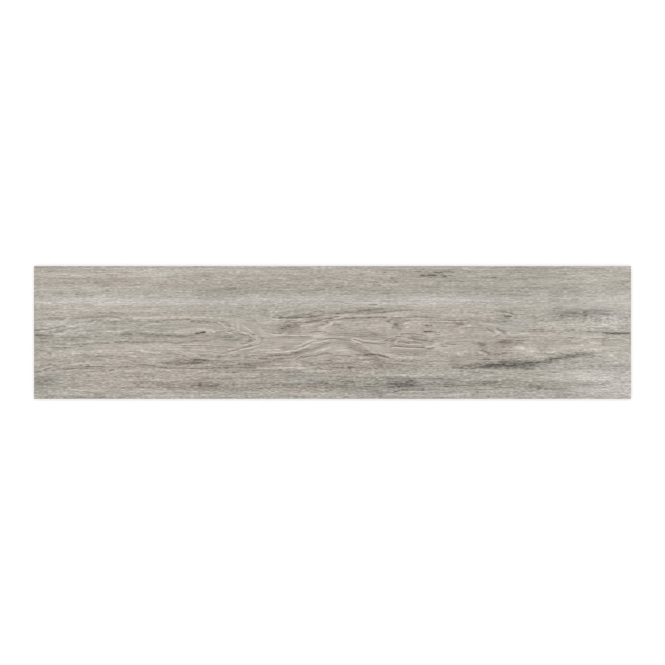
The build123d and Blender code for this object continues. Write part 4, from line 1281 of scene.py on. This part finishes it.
def printed_face(colours):
    """Matt glaze over the printed grain."""
    material, desk, shader, (along, across, _) = new_material("printed face")
    rings = kept_value(desk, "ring")
    flow = kept_value(desk, "flow")
    figure = kept_value(desk, "figure")
    smear = kept_value(desk, "smear")

    def layer(name, value):
        return desk.times(value, LEVELS[name])

    speck = desk.noise(along, flow, *SPECK_NOISE)
    grit = desk.slivers(along, flow, *GRIT_SLIVERS)
    thread = desk.slivers(along, flow, *THREAD_SLIVERS)
    fine = desk.noise(along, flow, *FINE_NOISE)
    fibre = desk.noise(along, flow, *FIBRE_NOISE)
    streak = desk.noise(along, flow, *STREAK_NOISE)
    band = desk.noise(along, flow, *BAND_NOISE)

    # Ring lines: cream where a ring starts and brown where it ends
    turn = desk.math("FRACT", desk.total(rings, desk.times(fibre, RING_STIR)))
    cream = desk.times(desk.ease(turn, *CREAM_START), desk.ease(turn, *CREAM_END))
    brown = desk.ease(turn, *BROWN_START)
    come_and_go = desk.ease(desk.noise(along, across, *RING_NOISE), *RING_COVER)
    ring_lines = desk.total(layer("cream", cream), layer("brown", brown))
    ring_lines = desk.times(desk.times(ring_lines, figure), come_and_go)

    # Hairs along the fibres, and short dashes in stretches
    hair = desk.noise(along, flow, *HAIR_NOISE)
    dark_hair = desk.ease(desk.math("ABSOLUTE", hair), *DARK_HAIR)
    pale_hair = desk.ease(desk.math("ABSOLUTE", desk.minus(hair, PALE_HAIR_AT)), *PALE_HAIR)
    dash = desk.ease(desk.noise(along, flow, *DASH_NOISE), *DASH_START)
    stretch = desk.ease(desk.noise(along, across, *STRETCH_NOISE), *DASH_COVER)
    dash = desk.times(dash, stretch)

    # Smears, speckled with ash
    ash = desk.ease(desk.noise(along, across, *ASH_NOISE), *ASH_COVER)
    burnt = desk.times(smear, desk.total(BURN_GROUND, ash))

    # Fine texture, quieter in the figure
    flecks = desk.total(layer("speck", speck), layer("grit", grit), layer("dash", dash))
    threads = desk.total(layer("thread", thread), layer("fine", fine))
    texture = desk.total(
        desk.times(flecks, desk.ease(figure, *FLECKS_IN_FIGURE)),
        desk.times(threads, desk.ease(figure, *THREADS_IN_FIGURE)),
    )
    coarse = desk.times(desk.ease(across, *TEXTURE_ABOVE), desk.ease(across, *TEXTURE_BELOW))
    stronger = desk.total(1.0, desk.times(smear, SMEAR_TEXTURE))
    texture = desk.times(texture, desk.times(coarse, stronger))

    # Long streaks, quieter in the figure and in the whitewashed band
    from_silver = desk.math("ABSOLUTE", desk.minus(across, SILVER_LINE))
    calm = desk.times(
        desk.ease(from_silver, *STREAKS_IN_SILVER), desk.ease(figure, *STREAKS_IN_FIGURE)
    )
    streaks = desk.times(desk.total(layer("streak", streak), layer("band", band)), calm)

    # Drawn lines and their echoes
    stir = desk.times(fibre, ECHO_STIR)
    ripples = desk.minus(
        echoes(desk, kept_value(desk, "pale away"), stir),
        echoes(desk, kept_value(desk, "dark away"), stir),
    )
    ripples = desk.times(ripples, desk.ease(figure, *ECHOES_IN_FIGURE))
    dark_line = desk.times(kept_value(desk, "dark"), desk.ease(speck, *WORN_LINE))

    tone = desk.total(
        LEVELS["ground"],
        kept_value(desk, "tone"),
        texture,
        layer("echo", ripples),
        layer("fibre", fibre),
        streaks,
        ring_lines,
        layer("dark hair", dark_hair),
        layer("pale hair", pale_hair),
        layer("burn", burnt),
        layer("dark line", dark_line),
        layer("pale line", kept_value(desk, "pale")),
    )

    # The tone lifts or lowers the tinted ground
    tint = desk.total(kept_value(desk, "tint"), band)
    tint = desk.filled("ShaderNodeMapRange", (tint, *TINT_ENDS))
    ground = ramp(desk, tint, [(0.0, colours.silver), (0.5, colours.olive), (1.0, colours.rosy)])
    lift = desk.minus(desk.math("MAXIMUM", tone, LEAST_TONE), MIDDLE_TONE)
    red = desk.total(lift, layer("burn red", burnt))
    blue = desk.total(lift, layer("burn blue", burnt))
    shares = [desk.math("DIVIDE", value, FULL_LEVEL) for value in (red, lift, blue)]
    ground = desk.filled("ShaderNodeGamma", (ground, 1.0 / PRINT_GAMMA))
    shaded = desk.filled("ShaderNodeVectorMath", (ground, desk.vector(*shares)), operation="ADD")
    desk.feed(shader.inputs["Base Color"], desk.filled("ShaderNodeGamma", (shaded, PRINT_GAMMA)))
    desk.feed(shader.inputs["Roughness"], desk.ease(fine, *FACE_ROUGHNESS))
    shader.inputs["Specular IOR Level"].default_value = FACE_GLOSS
    bump(desk, shader, desk.total(fine, desk.times(dash, DASH_HEIGHT)), *FACE_BUMP)
    return material


def body_group():
    """Pressed porcelain body: fine speckle and faint clouds, as a tone and a height."""
    desk, given, result = new_group(
        "Porcelain Body", "ShaderNodeTree", ("X", "Y", "Z"), ("Tone", "Height")
    )
    place = desk.vector(given["X"], given["Y"], given["Z"])
    grains = []
    tones = []
    for cell, detail, levels in (BODY_SPECKLE, BODY_CLOUD):
        made = desk.node("ShaderNodeTexNoise")
        desk.feed(made.inputs["Vector"], place)
        made.inputs["Scale"].default_value = 1.0 / cell
        made.inputs["Detail"].default_value = detail
        grain = desk.minus(made.outputs[0], NOISE_MIDDLE)
        grains.append(grain)
        tones.append(desk.times(grain, levels))
    desk.feed(result["Tone"], desk.total(*tones))
    desk.feed(result["Height"], grains[0])
    return desk.tree


def place_body(desk, group, axes):
    """The body's tone and height at a place."""
    made = desk.node("ShaderNodeGroup", node_tree=group)
    for socket, axis in zip(made.inputs, axes):
        desk.feed(socket, axis)
    return made.outputs["Tone"], made.outputs["Height"]


def dye_body(desk, shader, *levels):
    """Colours the shader in the body's shades, by the sum of print levels."""
    share = desk.math("DIVIDE", desk.total(*levels), FULL_LEVEL)
    stops = [(level / FULL_LEVEL, colour(*shade)) for level, shade in BODY_SHADES]
    desk.feed(shader.inputs["Base Color"], ramp(desk, share, stops))


def ground_edge(group):
    """Sawn and ground edge: body colour, fine grinding lines, and the glaze as a line at the top."""
    material, desk, shader, axes = new_material("ground edge")
    along, across, up = axes
    tone, height = place_body(desk, group, axes)
    lines = desk.noise(desk.total(along, across), up, *GRIND_NOISE)
    glaze = desk.ease(up, *GLAZE_LINE)
    ground_lines = desk.times(lines, GRIND_LEVELS)
    dye_body(desk, shader, EDGE_LEVEL, tone, ground_lines, desk.times(glaze, GLAZE_LEVELS))
    desk.feed(shader.inputs["Roughness"], desk.ease(lines, *EDGE_ROUGHNESS))
    bump(desk, shader, desk.total(lines, desk.times(height, EDGE_GRAIN)), *EDGE_BUMP)
    return material


def unglazed_back(group):
    """Bare body with a pale bloom of kiln wash on the feet of the ribs."""
    material, desk, shader, axes = new_material("unglazed back")
    along, across, up = axes
    tone, height = place_body(desk, group, axes)
    patch = desk.noise(along, across, *WASH_NOISE)
    wash = desk.times(desk.ease(up, *WASH_FEET), desk.ease(patch, *WASH_COVER))
    patches = desk.times(patch, PATCH_LEVELS)
    dye_body(desk, shader, BACK_LEVEL, tone, patches, desk.times(wash, WASH_LEVELS))
    desk.feed(shader.inputs["Roughness"], desk.ease(height, *BACK_ROUGHNESS))
    bump(desk, shader, height, *BACK_BUMP)
    return material


def map_place(sizes, normal, middle, lowest, corner):
    """Where a corner of a face of the mesh lies on the bake map."""
    x, y, z = corner
    half_length = 0.5 * sizes.length
    half_width = 0.5 * sizes.width
    edge_height = sizes.thickness + sizes.arris
    inner = 1.0 - 2 * MAP_MARGIN
    along = MAP_MARGIN + (x + half_length) / sizes.length * inner
    across = (y + half_width) / sizes.width
    if lowest > sizes.thickness - 0.5 * (sizes.arris + sizes.relief):
        left = middle.x < 0.0
        start = -half_length if left else -MAP_OVERLAP
        along = MAP_MARGIN + (x - start) / (half_length + MAP_OVERLAP) * inner
        row = "left half" if left else "right half"
    elif normal.z < BACK_DOWN:
        row = "back"
    elif abs(normal.y) > abs(normal.x):
        across = (z + half_width - abs(y)) / edge_height
        row = "near side" if y < 0.0 else "far side"
    else:
        widths = across + (MAP_SECOND_END if x > 0.0 else 0.0)
        along = MAP_MARGIN + widths * sizes.width / sizes.length * inner
        across = (z + half_length - abs(x)) / edge_height
        row = "ends"
    low, high = MAP_ROWS[row]
    return along, low + across * (high - low)


def lay_bake_map(tile, sizes):
    """The bake map: the face in two halves, and the back and the edges below."""
    mesh = tile.data
    layer = mesh.uv_layers.new(name=MAP_NAME)
    for face in mesh.polygons:
        corners = [mesh.vertices[index].co for index in face.vertices]
        lowest = min(corner.z for corner in corners)
        for loop, corner in zip(face.loop_indices, corners):
            layer.data[loop].uv = map_place(sizes, face.normal, face.center, lowest, corner)


def finish_tile(tile, sizes, colours):
    """Gives each face of the mesh its finish by the way it faces, and shades the relief smooth."""
    group = body_group()
    for material in (printed_face(colours), ground_edge(group), unglazed_back(group)):
        tile.data.materials.append(material)
    face_slot, edge_slot, back_slot = range(3)
    for face in tile.data.polygons:
        if face.normal.z > FACE_UP:
            face.material_index = face_slot
        elif face.normal.z < BACK_DOWN:
            face.material_index = back_slot
        else:
            face.material_index = edge_slot
    lay_bake_map(tile, sizes)
    bpy.ops.object.shade_smooth_by_angle(angle=SMOOTH_ANGLE)


class PlankSizes(bpy.types.PropertyGroup):
    """Sizes of the tile."""

    length: bpy.props.FloatProperty(
        name="Length", description="Along the grain", default=TILE_LENGTH, unit="LENGTH"
    )
    width: bpy.props.FloatProperty(
        name="Width", description="Across the grain", default=TILE_WIDTH, unit="LENGTH"
    )
    thickness: bpy.props.FloatProperty(
        name="Thickness",
        description="From the face to the feet of the back ribs",
        default=TILE_THICKNESS,
        unit="LENGTH",
    )
    arris: bpy.props.FloatProperty(
        name="Arris", description="Eased rim of the face", default=0.6 * MM, unit="LENGTH"
    )
    relief: bpy.props.FloatProperty(
        name="Relief", description="Depth of the pressed grain", default=0.4 * MM, unit="LENGTH"
    )
    key_side: bpy.props.FloatProperty(
        name="Key Side", description="Mouth of one key", default=20.0 * MM, unit="LENGTH"
    )
    key_depth: bpy.props.FloatProperty(
        name="Key Depth", description="Depth of a key", default=0.8 * MM, unit="LENGTH"
    )
    key_corner: bpy.props.FloatProperty(
        name="Key Corner", description="Cut across a key's corner", default=3.0 * MM, unit="LENGTH"
    )
    key_draft: bpy.props.FloatProperty(
        name="Key Draft",
        description="Lean of a key's walls",
        default=math.radians(30),
        subtype="ANGLE",
    )
    rib: bpy.props.FloatProperty(
        name="Rib", description="Land between two keys", default=5.0 * MM, unit="LENGTH"
    )
    least_rim: bpy.props.FloatProperty(
        name="Least Rim",
        description="Plain land left round the back, at least",
        default=10.0 * MM,
        unit="LENGTH",
    )


class PlankColours(bpy.types.PropertyGroup):
    """Grounds of the print, each at its middle tone."""

    rosy: bpy.props.FloatVectorProperty(
        name="Rosy",
        description="Heartwood ground",
        default=colour(175.6, 168, 157.9),
        subtype="COLOR",
    )
    olive: bpy.props.FloatVectorProperty(
        name="Olive",
        description="Cool ground",
        default=colour(172.3, 168, 157.8),
        subtype="COLOR",
    )
    silver: bpy.props.FloatVectorProperty(
        name="Silver",
        description="Whitewashed ground",
        default=colour(172.9, 168, 161.4),
        subtype="COLOR",
    )


class StageSettings(bpy.types.PropertyGroup):
    """The floor, the light and the camera."""

    frame_width: bpy.props.FloatProperty(
        name="Frame Width",
        description="Width of the picture at the tile's face",
        default=1002.4 * MM,
        unit="LENGTH",
    )
    lens: bpy.props.FloatProperty(
        name="Lens", description="Focal length", default=85.0, unit="CAMERA"
    )
    camera_reach: bpy.props.FloatProperty(
        name="Camera Reach", description="How far the camera sees", default=50.0, unit="LENGTH"
    )
    floor_side: bpy.props.FloatProperty(
        name="Floor Side", description="Side of the floor", default=12.0, unit="LENGTH"
    )
    floor_colour: bpy.props.FloatVectorProperty(
        name="Floor Colour", description="Pale floor", default=(0.8, 0.8, 0.8), subtype="COLOR"
    )
    floor_lift: bpy.props.FloatProperty(
        name="Floor Lift", description="Glow of the floor where it is seen", default=0.25
    )
    white_from: bpy.props.FloatProperty(
        name="White From",
        description="Distance from the tile's middle at which the floor starts to fade to white",
        default=0.75,
        unit="LENGTH",
    )
    white_past: bpy.props.FloatProperty(
        name="White Past",
        description="Distance past which the floor is seen white",
        default=1.4,
        unit="LENGTH",
    )
    lamp_power: bpy.props.FloatProperty(
        name="Lamp Power", description="Power of the soft lamp", default=120.0, unit="POWER"
    )
    lamp_height: bpy.props.FloatProperty(
        name="Lamp Height", description="From the floor up to the lamp", default=4.0, unit="LENGTH"
    )
    lamp_side: bpy.props.FloatProperty(
        name="Lamp Side", description="Side of the soft lamp", default=4.0, unit="LENGTH"
    )
    sky: bpy.props.FloatProperty(
        name="Sky", description="Strength of the light from all round", default=0.4
    )


class TILE_OT_plank(bpy.types.Operator):
    """Build the plank tile with its keyed back and pressed, printed face"""

    bl_idname = "tile.plank"
    bl_label = "Plank Tile"

    def execute(self, context):
        sizes = context.scene.plank_sizes
        tile = add_slab(sizes)
        key_back(tile, sizes)
        cell_face(tile, sizes)
        bpy.ops.object.mode_set(mode="OBJECT")
        press_face(tile, sizes)
        finish_tile(tile, sizes, context.scene.plank_colours)
        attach(tile, BODY)
        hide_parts(NODE)
        return {"FINISHED"}


class TILE_OT_stage(bpy.types.Operator):
    """Build the floor, the soft light and the camera that looks straight down"""

    bl_idname = "tile.stage"
    bl_label = "Stage"

    def execute(self, context):
        stage = context.scene.tile_stage
        add_floor(stage)
        add_light(context.scene, stage)
        add_camera(context.scene, stage)
        context.scene.view_settings.view_transform = "Standard"
        return {"FINISHED"}


def seen_ray(desk):
    """1 for the rays that show the background: straight from the camera, mirrored or through glass."""
    path = desk.node("ShaderNodeLightPath").outputs
    seen = desk.math("MAXIMUM", path["Is Camera Ray"], path["Is Glossy Ray"])
    return desk.math("MAXIMUM", seen, path["Is Transmission Ray"])


def add_floor(stage):
    """The pale floor, which fades to white where it is seen far from the tile."""
    start_alone()
    bpy.ops.mesh.primitive_plane_add(size=stage.floor_side, location=(0.0, 0.0, -FLOOR_DROP))
    floor = bpy.context.object
    floor.name = "floor"
    material = bpy.data.materials.new("pale floor")
    material.use_nodes = True
    material.node_tree.nodes.clear()
    desk = NodeDesk(material.node_tree)
    matt = desk.filled("ShaderNodeBsdfDiffuse", ((*stage.floor_colour, 1.0),))
    glow = desk.filled("ShaderNodeEmission", (WHITE, desk.times(seen_ray(desk), stage.floor_lift)))
    near = desk.filled("ShaderNodeAddShader", (matt, glow))
    white = desk.filled("ShaderNodeEmission", (WHITE, 1.0))
    distance = desk.node("ShaderNodeVectorMath", operation="LENGTH")
    desk.feed(distance.inputs[0], desk.node("ShaderNodeTexCoord").outputs["Object"])
    far = desk.ease(distance.outputs["Value"], stage.white_from, stage.white_past)
    faded = desk.filled("ShaderNodeMixShader", (desk.times(far, seen_ray(desk)), near, white))
    desk.feed(desk.node("ShaderNodeOutputMaterial").inputs["Surface"], faded)
    floor.data.materials.append(material)


def add_light(scene, stage):
    """A large soft lamp straight above, and an even light from all round."""
    start_alone()
    bpy.ops.object.light_add(type="AREA", location=(0.0, 0.0, stage.lamp_height))
    lamp = bpy.context.object
    lamp.name = "soft lamp"
    lamp.data.size = stage.lamp_side
    lamp.data.energy = stage.lamp_power
    world = bpy.data.worlds.new("studio")
    world.use_nodes = True
    world.node_tree.nodes.clear()
    desk = NodeDesk(world.node_tree)
    strength = desk.ease(seen_ray(desk), 0.0, 1.0, stage.sky, 1.0)
    sky = desk.filled("ShaderNodeBackground", (WHITE, strength))
    desk.feed(desk.node("ShaderNodeOutputWorld").inputs["Surface"], sky)
    scene.world = world


def add_camera(scene, stage):
    """The camera, straight above the tile's middle."""
    start_alone()
    bpy.ops.object.camera_add()
    camera = bpy.context.object
    camera.data.lens = stage.lens
    distance = stage.frame_width * stage.lens / camera.data.sensor_width
    camera.location = (0.0, 0.0, TILE_HIGH[2] + distance)
    camera.data.clip_end = stage.camera_reach
    scene.camera = camera


class TILE_PT_sidebar(bpy.types.Panel):
    """Sizes and operators of the tile and its stage"""

    bl_idname = "TILE_PT_sidebar"
    bl_label = "Wood-Look Plank Tile"
    bl_space_type = "VIEW_3D"
    bl_region_type = "UI"
    bl_category = "Tile"

    def draw(self, context):
        scene = context.scene
        for groups, operator in (
            ((scene.plank_sizes, scene.plank_colours), TILE_OT_plank.bl_idname),
            ((scene.tile_stage,), TILE_OT_stage.bl_idname),
        ):
            box = self.layout.box()
            for group in groups:
                for name in group.__annotations__:
                    box.prop(group, name)
            box.operator(operator)


CLASSES = (PlankSizes, PlankColours, StageSettings, TILE_OT_plank, TILE_OT_stage, TILE_PT_sidebar)


def register():
    """Adds the classes and their settings to Blender."""
    for item in CLASSES:
        bpy.utils.register_class(item)
    bpy.types.Scene.plank_sizes = bpy.props.PointerProperty(type=PlankSizes)
    bpy.types.Scene.plank_colours = bpy.props.PointerProperty(type=PlankColours)
    bpy.types.Scene.tile_stage = bpy.props.PointerProperty(type=StageSettings)


def unregister():
    """Takes the settings and the classes out again."""
    del bpy.types.Scene.tile_stage
    del bpy.types.Scene.plank_colours
    del bpy.types.Scene.plank_sizes
    for item in reversed(CLASSES):
        bpy.utils.unregister_class(item)


def main():
    register()
    bpy.ops.tile.plank()
    bpy.ops.tile.stage()


if __name__ == "__main__":
    main()
